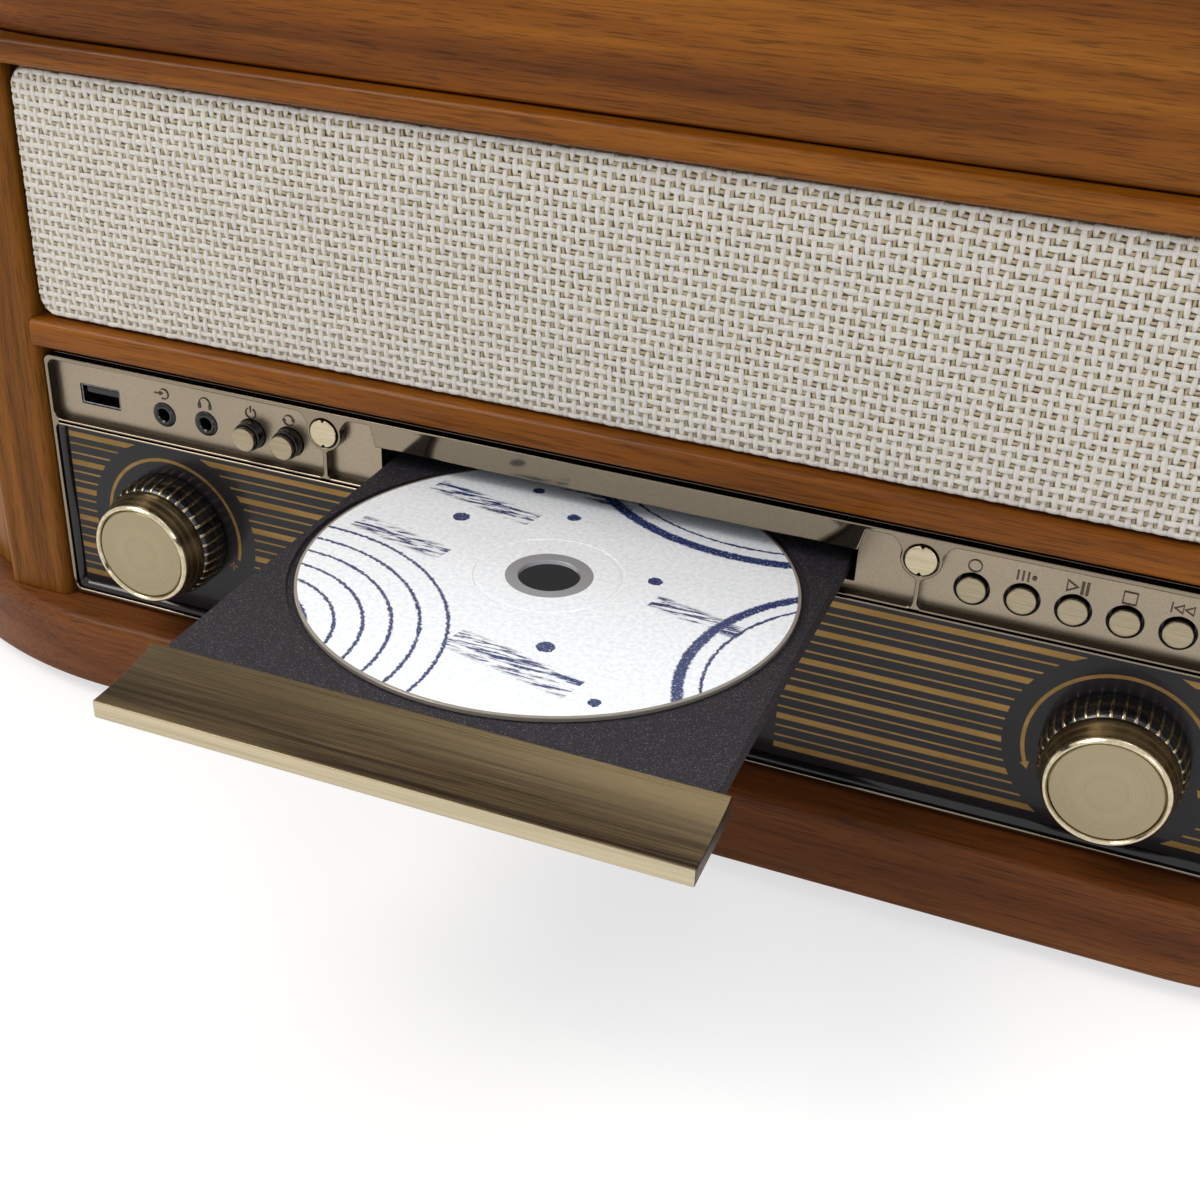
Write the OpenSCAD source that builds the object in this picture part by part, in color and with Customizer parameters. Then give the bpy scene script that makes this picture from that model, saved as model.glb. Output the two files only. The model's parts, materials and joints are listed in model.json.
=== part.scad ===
// Retro stereo music centre: wooden cabinet with a grille cloth, a dial panel with two knobs and
// eight buttons, a motor-driven disc drawer and a record player under a hinged lid.
// Millimetres. X to the right, Y to the back, Z up. The origin lies on the resting plane, below the
// middle of the control panel's front face, and the drawer is drawn open.

/* [Cabinet] */
// Width of the moulded plinth
plinth_w = 454; // [446:1:470]
// Height of the plinth
plinth_h = 23; // [18:0.5:30]
// How far the plinth stands in front of the panel face
plinth_front = 12; // [11:0.5:16]
// How far the plinth stands out past the cabinet's sides
plinth_lip = 9; // [6:0.5:9]
// Radius of the wide sweep at the front corners
sweep_r = 130; // [110:1:150]
// Angle that the wide sweep turns through
sweep_turn = 25; // [20:1:30]
// Radius where the corner meets the side
side_r = 30; // [28:1:36]
// Depth from the panel face to the cabinet's back
cabinet_d = 326; // [320:1:350]
// Thickness of the wooden side walls
wall_t = 12; // [9:0.5:12]
// Thickness of the back board
back_t = 10; // [6:0.5:14]
// Height of the rubber feet
foot_h = 5.5; // [3:0.5:10]
// Radius of the rubber feet
foot_r = 14; // [8:0.5:20]

/* [Front frame] */
// Width of the upright posts
post_w = 21.5; // [18:0.5:24]
// How far the posts stand in front of the panel face
post_front = 2.5; // [1.5:0.25:4]
// Depth of the posts and rails behind the panel face
frame_d = 14; // [12:0.5:18]
// Radius on the posts' front edges
post_round = 3; // [1:0.25:5]
// Height of the rail between panel and cloth
rail_h = 8; // [6:0.25:12]
// Height of the rail above the cloth
top_rail_h = 6.5; // [6.5:0.25:10]
// How far the rails stand in front of the panel face
rail_front = 3; // [2:0.25:5]
// Radius on the rails' front edges
rail_round = 2.6; // [1:0.2:3]

/* [Panel] */
// Width of the metal-look panel
panel_w = 344; // [340:1:350]
// Height of the panel
panel_h = 77.6; // [76:0.2:80]
// Gap below the panel
panel_seat = 0.9; // [0.4:0.1:0.9]
// Gap between the panel and the rail above it
rail_gap = 3; // [1:0.25:4]
// Width of the raised rim
rim_w = 1.4; // [1:0.1:2]
// Depth of the recessed face behind the rim
recess_d = 3; // [2.4:0.1:3.4]
// Thickness of the panel's face
face_t = 2.5; // [2:0.1:3]
// Depth of the panel's rim
panel_d = 14; // [10:0.5:14]
// Height of the control strip, from the top edge to the divider's middle
strip_h = 20.6; // [20.2:0.1:21.2]
// Width of the raised divider
divider_w = 1.8; // [1.2:0.1:2]
// Thickness of the dial glass
glass_t = 2; // [1.5:0.1:2]
// Width of the display behind the glass
display_w = 84; // [60:1:100]
// Height of the display behind the glass
display_h = 34; // [24:1:40]

/* [Controls] */
// Distance of each knob from the middle
knob_x = 134.5; // [130:0.5:138]
// Height of the knobs below the panel's top edge
knob_drop = 49; // [47:0.5:51]
// Radius of the knobs' ribbed ring
grip_r = 17.9; // [16:0.1:18.5]
// Number of ribs round a knob
grip_ribs = 36; // [24:1:48]
// Radius of the knobs' brass skirt at its wide end
skirt_r = 16.6; // [15:0.1:17]
// Radius of the knobs' front rim
cap_r = 14.8; // [13:0.1:15.5]
// How far the knobs stand in front of the panel
knob_reach = 15; // [12:0.5:18]
// Radius of the knob shafts
shaft_r = 3; // [2.5:0.1:3]
// Radius of the button caps
button_r = 3.54; // [3.2:0.02:3.7]
// Radius of the holes round the button caps
button_hole_r = 4.33; // [4.1:0.01:4.6]
// Height of the buttons below the panel's top edge
button_drop = 12.7; // [12:0.1:13.4]
// Distance between neighbouring buttons
button_pitch = 12; // [11.5:0.1:12]
// Place of the outermost button of the right-hand row, from the middle
last_button_x = 153.9; // [152:0.1:156]
// How far the row's button faces stand behind the rim
button_face = 1.75; // [1:0.05:2]
// How far the two left-hand buttons stand in front of the rim
tall_button_face = 2; // [1:0.1:3]
// Travel of the buttons
button_travel = 1; // [0.5:0.1:1.2]
// Place of the round trim caps, from the middle
trim_x = 81.4; // [80:0.2:83]
// Radius of the round trim caps
trim_r = 3.95; // [3.5:0.05:4.2]
// Radius of the collar round each trim cap
collar_r = 5.2; // [4.8:0.05:5.6]
// Radius of a jack plug's hole
jack_bore_r = 1.8; // [1.76:0.01:1.85]
// Place of the line jack, from the middle
line_jack_x = -134.4; // [-136:0.1:-133]
// Place of the headphone jack, from the middle
phones_jack_x = -120.7; // [-122:0.1:-119]
// Outer radius of the jacks
jack_r = 3.57; // [3.3:0.01:3.7]
// Place of the USB socket, from the middle
usb_x = -155.75; // [-157:0.25:-154]
// Width of the USB socket's hole
usb_w = 13.3; // [13:0.1:13.6]
// Height of the USB socket's hole
usb_h = 6.2; // [5.8:0.1:6.6]

/* [Disc drawer] */
// Half width of the tray
tray_half = 63.5; // [63:0.1:63.5]
// Depth of the tray's top below the panel's top edge
tray_drop = 12.4; // [12:0.1:12.6]
// Thickness of the tray at its edge
tray_t = 4.6; // [4.4:0.1:4.6]
// Reach of the tray in front of the panel when open
tray_reach = 100.3; // [98:0.1:102]
// Length of tray left behind the panel when open
tray_tail = 38; // [36:0.5:42]
// Travel of the drawer
tray_travel = 102.5; // [98:0.5:103]
// Radius of the disc recess in the tray
recess_r = 61.8; // [61.2:0.1:62]
// Depth of the front strip of the drawer
lip_d = 22; // [18:0.5:26]
// Half width of the front strip
lip_half = 66.5; // [66:0.1:68]
// Thickness of the front strip
lip_t = 4.3; // [3.6:0.1:4.4]
// Radius of the disc
disc_r = 60; // [60:0.1:60]
// Thickness of the disc
disc_t = 1.2; // [1.1:0.1:1.3]
// Radius of the disc's hole
disc_hole_r = 7.5; // [7.4:0.05:7.6]
// Tooth size of the loading gear
gear_module = 1.2; // [1:0.1:1.2]
// Number of teeth on the loading gear
gear_teeth = 20; // [18:1:20]
// Rise of the disc motor's frame
lift_travel = 6.6; // [5:0.1:6.6]
// Travel of the laser sled
sled_travel = 30; // [24:1:32]

/* [Grille] */
// Height of the cloth
cloth_h = 68.9; // [66:0.1:74]
// Thickness of the cloth and its padding
cloth_t = 2; // [1.5:0.1:2.5]
// Thickness of the board behind the cloth
board_t = 8; // [5:0.5:9]
// Distance of the speakers from the middle
speaker_x = 118; // [90:1:128]
// Radius of the speakers' frames
speaker_r = 33; // [28:0.5:33.5]
// Radius of the hole in front of each speaker
speaker_hole_r = 28; // [24:0.5:29]

/* [Record deck] */
// Height of the lid
lid_h = 50; // [50:0.5:60]
// Thickness of the lid's top and sides
lid_t = 9; // [7:0.5:9]
// Gap that the lid's pads leave under it
lid_gap = 0.5; // [0.3:0.1:0.8]
// Radius of the platter
platter_r = 101; // [95:0.5:104]
// Height of the platter
platter_h = 13; // [11:0.5:14]
// Place of the spindle to the right of the middle
spindle_x = -45; // [-50:1:-45]
// Place of the spindle behind the panel face
spindle_y = 164; // [162:1:166]
// Radius of the spindle
spindle_r = 3.575; // [3.55:0.005:3.6]
// Distance of the motor from the spindle
motor_reach = 80; // [76:0.5:84]
// Radius of the motor pulley
pulley_r = 5; // [4:0.1:6]
// Radius of the belt ring under the platter
belt_ring_r = 62; // [56:0.5:66]
// Place of the arm's pivot to the right of the middle
arm_x = 148; // [146:1:156]
// Place of the resting stylus behind the panel face
stylus_y = 30; // [24:1:38]
// Length of the arm from pivot to stylus
arm_l = 214; // [205:1:222]
// Radius of the arm tube
arm_r = 4; // [3:0.1:4.5]
// Height of the arm's axis above the deck
arm_rise = 25; // [24:0.5:26]

/* [Fits] */
// Free play beside faces that only lie next to each other
gap = 0.3; // [0.2:0.05:0.4]
// Radial play of a shaft that turns in a bore
running = 0.04; // [0.02:0.01:0.08]

/* [Hidden] */
$fn = 64;

// Heights, from the resting plane up
plinth_top = foot_h + plinth_h;
panel_bottom = plinth_top + panel_seat;
panel_top = panel_bottom + panel_h;
rail_bottom = panel_top + rail_gap;
rail_top_z = rail_bottom + rail_h;
cloth_bottom = rail_top_z + gap;
cloth_top = cloth_bottom + cloth_h;
top_rail_bottom = cloth_top + gap;
cabinet_top = top_rail_bottom + top_rail_h;
lid_bottom = cabinet_top + lid_gap;
lid_top = lid_bottom + lid_h;
control_z = panel_top - button_drop;
knob_z = panel_top - knob_drop;
divider_z = panel_top - strip_h;

// Plan of the plinth, which every outline of the cabinet follows at its own inset
sweep_x = plinth_w / 2 - side_r - (sweep_r - side_r) * sin(sweep_turn);
sweep_y = sweep_r - plinth_front;
side_x = sweep_x + (sweep_r - side_r) * sin(sweep_turn);
side_y = sweep_y - (sweep_r - side_r) * cos(sweep_turn);
plinth_back = cabinet_d + 4;

// Front frame
post_in = panel_w / 2 + 0.5;
post_out = post_in + post_w;
inner_lip = plinth_lip + wall_t + gap;
inner_x = plinth_w / 2 - inner_lip;

// Panel layers, from the front to the back
face_y = recess_d;
face_back = face_y + face_t;
glass_y = 2.5;
web_y = glass_y + glass_t + 0.1;
web_t = 2;
web_back = web_y + web_t;
window_bottom = panel_bottom + rim_w;
window_top = divider_z - divider_w / 2;
board_y = 12;
board_thick = 1.6;

// Drawer
tray_top = panel_top - tray_drop;
tray_bottom = tray_top - tray_t;
runner_h = 1.8;
runner_half = 61;
disc_y = tray_tail + 2.5 - 76;
disc_z = tray_top + 0.25;
disc_seat = 0.05;
slot_half = 65.5;
slot_top = panel_top - 7.3;
slot_bottom = tray_bottom - 0.4;
slot_deep = tray_bottom - runner_h - gap;
hood_half = slot_half + 1.8;
gear_r = gear_module * gear_teeth / 2;
gear_y = 22;
rack_x = -42;
gear_x = rack_x + gear_r;
rack_pitch = PI * gear_module;
chassis_z = 70;
chassis_half = 68.5;
chassis_back = 150;
closed_disc_y = disc_y + tray_travel;
seat_z = disc_z - 0.3 - lift_travel;
lift_y = closed_disc_y + 30;

// Speakers and deck
cloth_y = 0.5;
grille_y = cloth_y + cloth_t;
speaker_y = grille_y + board_t;
speaker_z = (cloth_bottom + cloth_top) / 2;
deck_top = cabinet_top - 2;
deck_t = 3;
well_r = platter_r + 4;
well_floor = deck_top - 6;
platter_z = well_floor + 1;
platter_top = platter_z + platter_h;
belt_z = platter_z + 4;
belt_h = 4;
belt_t = 0.8;
pulley_x = spindle_x - motor_reach;
arm_z = deck_top + arm_rise;
lid_inset = plinth_lip + 6;
lever_x = plinth_w / 2 - lid_inset - lid_t - 19;
arm_y = stylus_y + arm_l;
shell_l = 40;
shell_y = stylus_y - 14 + shell_l;
cue_x = lever_x;
cue_y = arm_y - 20;
cue_z = deck_top + 9;
speed_x = lever_x;
speed_y = 60;
bay_x = inner_x - 21;
bay_y = cabinet_d - back_t - 26;
bay_w = 90;
bay_d = 85;
board_w = 105;
hinge_y = cabinet_d + 4;
hinge_x = 120;
hinge_r = 3;
hinge_pin_r = 1.5;

wood = "#7a421b";
dark_wood = "#5b3018";
bronze = "#a59a8a";
black = "#1c1a1b";
brass = "#a09478";
steel = "#b9bcc0";
board_green = "#2f5b3a";

// ---- Shared shapes ----

// Rectangle with round corners, centred
module round_rect(w, h, r) {
    square([w - 2 * r, h], center = true);
    square([w, h - 2 * r], center = true);
    for (sx = [-1, 1], sy = [-1, 1])
        translate([sx * (w / 2 - r), sy * (h / 2 - r)])
            circle(r);
}

// Extrudes a shape drawn in X and Z from y0 back to y1
module upright(y0, y1) {
    translate([0, y1, 0])
        rotate([90, 0, 0])
            linear_extrude(y1 - y0)
                children();
}

// A round bar along Y from y0 to y1
module bar_y(x, z, r, y0, y1, r2 = undef) {
    translate([x, y0, z])
        rotate([-90, 0, 0])
            cylinder(h = y1 - y0, r1 = r, r2 = is_undef(r2) ? r : r2);
}

// A box between two corners
module box(a, b) {
    translate(a)
        cube(b - a);
}

// Slice of a disc between two angles of less than 90 degrees
module slice(r, a0, a1) {
    far = 2 * r;
    intersection() {
        circle(r);
        polygon([[0, 0], far * [cos(a0), sin(a0)], far * [cos(a1), sin(a1)]]);
    }
}

// Outline of the cabinet's plan, moved in by inset, with square back corners
module plan(inset, back) {
    hw = plinth_w / 2 - inset;
    front = inset - plinth_front;
    turn = sweep_turn - 90;
    meet = [sweep_x, sweep_y] + (sweep_r - inset) * [cos(turn), sin(turn)];
    half = [[sweep_x, front], meet, [hw, side_y], [hw, back]];
    for (s = [0, 1])
        mirror([s, 0]) {
            polygon(concat([[0, back], [0, front]], half));
            translate([sweep_x, sweep_y])
                slice(sweep_r - inset, -90, turn);
            translate([side_x, side_y])
                slice(side_r - inset, turn, 0);
        }
}

// ---- Cabinet ----

module plinth() {
    color(dark_wood)
        translate([0, 0, foot_h])
            linear_extrude(plinth_h)
                plan(0, plinth_back);
}

module side_walls() {
    color(wood)
        translate([0, 0, plinth_top])
            linear_extrude(cabinet_top - plinth_top)
                difference() {
                    plan(plinth_lip, cabinet_d);
                    plan(plinth_lip + wall_t, cabinet_d + 1);
                    translate([-post_out, -plinth_front])
                        square([2 * post_out, plinth_front + frame_d + gap]);
                }
}

module front_posts() {
    color(wood)
        for (s = [-1, 1])
            translate([s * (post_in + post_out) / 2, (frame_d - post_front) / 2, plinth_top])
                linear_extrude(cabinet_top - plinth_top)
                    union() {
                        round_rect(post_w, frame_d + post_front, post_round);
                        translate([-post_w / 2, 0])
                            square([post_w, (frame_d + post_front) / 2]);
                    }
}

// Rail profile in Y and Z with round front edges
module rail_profile(h) {
    d = frame_d + rail_front;
    translate([rail_round, 0])
        square([d - rail_round, h]);
    translate([0, rail_round])
        square([rail_round, h - 2 * rail_round]);
    for (z = [rail_round, h - rail_round])
        translate([rail_round, z])
            circle(rail_round);
}

module rail(z, h) {
    translate([-post_in, -rail_front, z])
        rotate([90, 0, 90])
            linear_extrude(2 * post_in)
                rail_profile(h);
}

module rail_mid() {
    color(wood)
        rail(rail_bottom, rail_h);
}

module rail_top() {
    color(wood)
        rail(top_rail_bottom, top_rail_h);
}

vent_pitch = 9;
vent_count = 8;
inlet_x = 150;
socket_x = -120;
socket_z = 70;
socket_pitch = 16;

module back_panel() {
    color(dark_wood)
        difference() {
            box([-inner_x, cabinet_d - back_t, plinth_top],
                [inner_x, cabinet_d, cabinet_top]);
            for (i = [0:vent_count - 1])
                upright(cabinet_d - back_t - 1, cabinet_d + 1)
                    translate([(i - (vent_count - 1) / 2) * vent_pitch, 110])
                        round_rect(4, 40, 1.9);
            upright(cabinet_d - back_t - 1, cabinet_d + 1)
                translate([inlet_x, socket_z])
                    round_rect(30, 18, 3);
            upright(cabinet_d - back_t - 1, cabinet_d + 1)
                translate([socket_x, socket_z])
                    round_rect(60, 18, 3);
        }
}

module feet() {
    foot_in = 46;
    color(black)
        for (x = [-1, 1], y = [foot_in, plinth_back - foot_in])
            translate([x * (plinth_w / 2 - foot_in), y, 0]) {
                cylinder(h = foot_h, r = foot_r - 1.5);
                translate([0, 0, 1])
                    cylinder(h = foot_h - 1, r = foot_r);
            }
}

// ---- Control panel ----

left_buttons = [-105.9, -93.9];
right_buttons = [for (i = [5:-1:0]) last_button_x - i * button_pitch];

module panel_outline(inset = 0) {
    translate([0, (panel_top + panel_bottom) / 2])
        round_rect(panel_w - 2 * inset, panel_h - 2 * inset, 2.5 - inset / 2);
}

// One of the sunk fields of the control strip, between x0 and x1
module strip_field(x0, x1) {
    z0 = divider_z + divider_w / 2;
    z1 = panel_top - rim_w;
    translate([(x0 + x1) / 2, (z0 + z1) / 2])
        round_rect(x1 - x0, z1 - z0, 2.2);
}

module window_outline(play = 0) {
    translate([0, (window_top + window_bottom) / 2])
        round_rect(panel_w - 2 * rim_w - 2 * play, window_top - window_bottom - 2 * play, 1.6);
}

module slot_outline() {
    translate([-slot_half, slot_bottom])
        square([2 * slot_half, slot_top - slot_bottom]);
    translate([-runner_half - 0.6, slot_deep])
        square([2 * runner_half + 1.2, slot_top - slot_deep]);
}

module hood_outline() {
    polygon([[-hood_half, panel_top - rim_w], [-slot_half, slot_top], [slot_half, slot_top],
        [hood_half, panel_top - rim_w]]);
}

module strip_holes() {
    for (x = concat(left_buttons, right_buttons))
        translate([x, control_z])
            circle(button_hole_r);
    for (x = [line_jack_x, phones_jack_x])
        translate([x, control_z])
            circle(jack_r + 0.1);
    translate([usb_x, panel_top - 11.4])
        square([usb_w, usb_h], center = true);
}

module bezel_panel() {
    stem = 0.55;
    edge = panel_w / 2 - rim_w;
    color(bronze) {
        // rim, divider, collars, stems and the hood over the drawer slot
        upright(0, face_y)
            difference() {
                panel_outline();
                difference() {
                    union() {
                        strip_field(-edge, -trim_x - stem);
                        strip_field(-trim_x + stem, trim_x - stem);
                        strip_field(trim_x + stem, edge);
                    }
                    hood_outline();
                    for (s = [-1, 1])
                        translate([s * trim_x, panel_top - 6.4])
                            circle(collar_r);
                }
                window_outline();
                for (s = [-1, 1])
                    translate([s * trim_x, panel_top - 6.4])
                        circle(trim_r + 0.2);
            }
        // recessed face with the holes
        upright(face_y, face_back)
            difference() {
                panel_outline();
                window_outline();
                slot_outline();
                strip_holes();
            }
        // web behind the glass
        upright(web_y, web_back)
            difference() {
                panel_outline();
                slot_outline();
                strip_holes();
                translate([0, knob_z])
                    square([display_w, display_h], center = true);
                for (s = [-1, 1])
                    translate([s * knob_x, knob_z])
                        circle(4.6);
            }
        // rim that reaches back between the posts
        upright(0, panel_d)
            difference() {
                panel_outline();
                panel_outline(rim_w);
            }
    }
}

module dial_glass() {
    color("#2e2b30")
        upright(glass_y, glass_y + glass_t)
            difference() {
                window_outline(0.15);
                for (s = [-1, 1])
                    translate([s * knob_x, knob_z])
                        circle(9);
            }
}

module display_module() {
    rim = 4;
    color("#1d2a2c") {
        upright(web_back, web_back + 5)
            translate([0, knob_z])
                round_rect(display_w + 2 * rim, display_h + 2 * rim, 2);
        upright(web_y + 0.3, web_back)
            translate([0, knob_z])
                square([display_w - 1, display_h - 1], center = true);
    }
}

module trim_caps() {
    notch = 1.2;
    color("#c9c0a6")
        for (s = [-1, 1])
            difference() {
                bar_y(s * trim_x, panel_top - 6.4, trim_r, -0.6, face_y);
                for (t = [-1, 1])
                    translate([s * trim_x, -0.6, panel_top - 6.4 + t * trim_r])
                        cube([notch, 1.6, notch], center = true);
            }
}

module button(x, face) {
    flange_y = face_back + 1.4;
    color(brass) {
        bar_y(x, control_z, button_r - 0.4, face, face + 0.4, button_r);
        bar_y(x, control_z, button_r, face + 0.4, flange_y);
        bar_y(x, control_z, button_hole_r + 0.8, flange_y, flange_y + 1.2);
        bar_y(x, control_z, 2, flange_y + 1.2, board_y - 2 - button_travel - gap);
    }
}

module usb_socket() {
    z = panel_top - 11.4;
    shell = 0.5;
    y0 = face_y + 0.3;
    y1 = board_y + 4;
    color(steel)
        upright(y0, y1)
            difference() {
                translate([usb_x, z])
                    square([usb_w - 0.2, usb_h - 0.2], center = true);
                translate([usb_x, z])
                    square([usb_w - 0.2 - 2 * shell, usb_h - 0.2 - 2 * shell], center = true);
            }
    color(black) {
        upright(y0 + 1.2, y1)
            translate([usb_x, z + 1.1])
                square([usb_w - 2.4, 1.8], center = true);
        upright(y1 - 1, y1)
            translate([usb_x, z])
                square([usb_w - 0.2, usb_h - 0.2], center = true);
    }
}

module jack_sockets() {
    color(black)
        for (x = [line_jack_x, phones_jack_x])
            difference() {
                bar_y(x, control_z, jack_r, face_y - 0.5, board_y + 4);
                bar_y(x, control_z, jack_bore_r, face_y - 1, board_y + 3);
            }
}

module front_board() {
    z0 = divider_z + 2;
    z1 = panel_top - rim_w - gap;
    color(board_green) {
        box([left_buttons[0] - 6, board_y, z0], [left_buttons[1] + 16, board_y + board_thick, z1]);
        box([right_buttons[0] - 16, board_y, z0], [right_buttons[5] + 8, board_y + board_thick, z1]);
        box([-panel_w / 2 + 3, board_y + 4, z0], [phones_jack_x + 6, board_y + 4 + board_thick, z1]);
    }
    color(black)
        for (x = concat(left_buttons, right_buttons))
            box([x - 3, board_y - 2, control_z - 3], [x + 3, board_y, control_z + 3]);
}

module control_pots() {
    color(steel)
        for (s = [-1, 1])
            difference() {
                union() {
                    bar_y(s * knob_x, knob_z, 4.5, glass_y + 0.3, web_back);
                    upright(web_back, web_back + 9)
                        translate([s * knob_x, knob_z])
                            round_rect(17, 18, 2);
                }
                bar_y(s * knob_x, knob_z, shaft_r + running, glass_y, web_back + 8);
            }
}

// ---- Knobs ----

module knob_grip(x) {
    y0 = glass_y - gap;
    y1 = -knob_reach / 2;
    rib_depth = 0.9;
    color(black)
        difference() {
            union() {
                bar_y(x, knob_z, grip_r - 1.1, y1, y1 + 1.2, grip_r - 0.4);
                bar_y(x, knob_z, grip_r - 0.4, y1 + 1.2, y0 - 1.5, grip_r);
                bar_y(x, knob_z, grip_r, y0 - 1.5, y0);
            }
            bar_y(x, knob_z, skirt_r - 3, y1 - 1, y0 - 4);
            bar_y(x, knob_z, 10, y0 - 5, y0 + 1);
            for (i = [0:grip_ribs - 1])
                translate([x, y1 - 1, knob_z])
                    rotate([0, i * 360 / grip_ribs, 0])
                        translate([grip_r - rib_depth, 0, -0.85])
                            cube([3, y0 - 1.5 - y1, 1.7]);
        }
}

module knob_cap(x) {
    back = -knob_reach / 2 - 0.1;
    color(brass)
        difference() {
            union() {
                bar_y(x, knob_z, cap_r - 0.5, -knob_reach, -knob_reach + 0.5, cap_r);
                bar_y(x, knob_z, cap_r, -knob_reach + 0.5, back - 1, skirt_r - 0.2);
                bar_y(x, knob_z, skirt_r, back - 1, back);
                bar_y(x, knob_z, skirt_r - 3.3, back, -gap - 2.5);
                bar_y(x, knob_z, shaft_r, back, web_back + 7);
            }
            // groove inside the bright rim
            difference() {
                bar_y(x, knob_z, cap_r - 1.3, -knob_reach - 1, -knob_reach + 0.9);
                bar_y(x, knob_z, cap_r - 2.1, -knob_reach - 2, -knob_reach + 2);
            }
            bar_y(x, knob_z, cap_r - 1.9, -knob_reach - 1, -knob_reach + 0.3);
        }
}

// ---- Disc drawer ----

module tray_rack() {
    length = tray_tail + tray_reach - 12;
    count = floor(length / rack_pitch);
    first = gear_y - rack_pitch * floor((gear_y + tray_reach - 6) / rack_pitch);
    depth = 1.25 * gear_module;
    tip = gear_module;
    slope = tan(20);
    half = rack_pitch / 4 - 0.12;
    translate([0, 0, tray_bottom - runner_h])
        linear_extrude(runner_h)
            union() {
                translate([rack_x - depth - 4, first - 3])
                    square([4, (count - 1) * rack_pitch + 6]);
                for (i = [0:count - 1])
                    translate([rack_x, first + i * rack_pitch])
                        polygon([[-depth, -half - depth * slope], [tip, -half + tip * slope],
                            [tip, half - tip * slope], [-depth, half + depth * slope]]);
            }
}

module cd_tray() {
    hub_open = 16;
    sled_open = 21;
    rear_bar = 4;
    color("#37353a") {
        difference() {
            linear_extrude(tray_top)
                translate([0, (tray_tail - tray_reach) / 2])
                    round_rect(2 * tray_half, tray_tail + tray_reach, 2);
            translate([0, 0, -1])
                cube([3 * tray_half, 3 * tray_reach, 2 * tray_bottom + 2], center = true);
            translate([0, disc_y, disc_z - disc_t - disc_seat])
                cylinder(h = tray_t, r = recess_r);
            translate([0, disc_y, disc_z - disc_t - 1.4])
                cylinder(h = tray_t, r = disc_r - 22);
            translate([0, disc_y, tray_bottom - 1])
                cylinder(h = tray_t + 2, r = hub_open);
            box([-sled_open, disc_y, tray_bottom - 1],
                [sled_open, tray_tail - rear_bar, tray_top + 1]);
        }
        for (s = [0, 1])
            mirror([s, 0, 0])
                box([runner_half - 4, -tray_reach, tray_bottom - runner_h],
                    [runner_half, tray_tail, tray_bottom]);
        tray_rack();
    }
}

module tray_front() {
    back = -tray_reach;
    front = back - lip_d;
    z1 = tray_top + 0.4;
    z0 = z1 - 2;
    chord = norm([lip_d, z1 - z0]);
    sag = 0.6;
    arc_r = chord * chord / 8 / sag + sag / 2;
    centre = [(front + back) / 2, (z0 + z1) / 2] + [-(z1 - z0) / chord, lip_d / chord] * (arc_r - sag);
    color("#8d7d58")
        translate([-lip_half, 0, 0])
            rotate([90, 0, 90])
                linear_extrude(2 * lip_half)
                    difference() {
                        polygon([[back, z1], [front, z0], [front, z0 - lip_t],
                            [back, z0 - lip_t + 1.2]]);
                        translate(centre)
                            circle(arc_r, $fn = 180);
                    }
}

module compact_disc() {
    color("#e3ebf3")
        translate([0, disc_y, disc_z - disc_t])
            difference() {
                cylinder(h = disc_t, r = disc_r);
                translate([0, 0, -1])
                    cylinder(h = disc_t + 2, r = disc_hole_r);
            }
}

// Involute tooth: half angle of the tooth at radius q
function inv(a) = tan(a) * 180 / PI - a;
base_r = gear_r * cos(20);
function tooth_half(q) = 90 / gear_teeth - 0.12 / gear_r * 180 / PI + inv(20)
    - inv(q > base_r ? acos(base_r / q) : 0);
function at(q, a) = q * [cos(a), sin(a)];

module gear_outline() {
    root = gear_r - 1.25 * gear_module;
    tip = gear_r + gear_module * 0.95;
    steps = 5;
    flank = concat([root], [for (i = [0:steps]) base_r + (tip - base_r) * i / steps]);
    polygon([for (k = [0:gear_teeth - 1], s = [-1, 1], i = [0:len(flank) - 1])
        let (q = flank[s < 0 ? i : len(flank) - 1 - i])
            at(q, 180 + (k + 0.5) * 360 / gear_teeth + s * tooth_half(q))]);
}

module loading_gear() {
    top = tray_bottom - gap;
    color("#d9d4c4")
        translate([gear_x, gear_y, 0])
            difference() {
                union() {
                    translate([0, 0, top - runner_h - 1.2])
                        linear_extrude(runner_h + 1.2)
                            gear_outline();
                    translate([0, 0, chassis_z + 2 + gap])
                        cylinder(h = top - chassis_z - 5, r = 5);
                }
                translate([0, 0, chassis_z])
                    cylinder(h = tray_bottom - chassis_z, r = 2 + running);
            }
}

module cd_chassis() {
    y0 = board_y + 3;
    wall_in = chassis_half - 2;
    wall_top = tray_top + 2;
    leg = 8;
    color("#4a4d50") {
        difference() {
            box([-chassis_half, y0, chassis_z], [chassis_half, chassis_back, chassis_z + 2]);
            box([-22, closed_disc_y - 20, chassis_z - 1], [22, chassis_back - 8, chassis_z + 3]);
        }
        for (s = [0, 1])
            mirror([s, 0, 0]) {
                box([wall_in, y0, chassis_z + 2], [chassis_half, chassis_back, wall_top]);
                // ledge below and keeper above the tray's edge
                box([runner_half + 0.4, y0, tray_bottom - gap - 1.4],
                    [wall_in, chassis_back, tray_bottom - gap]);
                box([disc_r + 1.5, y0, tray_top + gap], [wall_in, y0 + 26, wall_top]);
                for (y = [y0, chassis_back - leg])
                    box([chassis_half - leg, y, plinth_top], [chassis_half, y + leg, chassis_z]);
            }
        // loading gear's post and the motor beside it
        translate([gear_x, gear_y, chassis_z + 2])
            cylinder(h = tray_bottom - chassis_z - 2.6, r = 2);
        box([-4, y0 + 1, chassis_z + 2], [16, y0 + 16, chassis_z + 14]);
        // pins that guide the lift frame
        for (x = [-27, 27], y = [lift_y - 38, lift_y + 38])
            translate([x, y, chassis_z])
                cylinder(h = 12, r = 1.5);
    }
}

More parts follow.
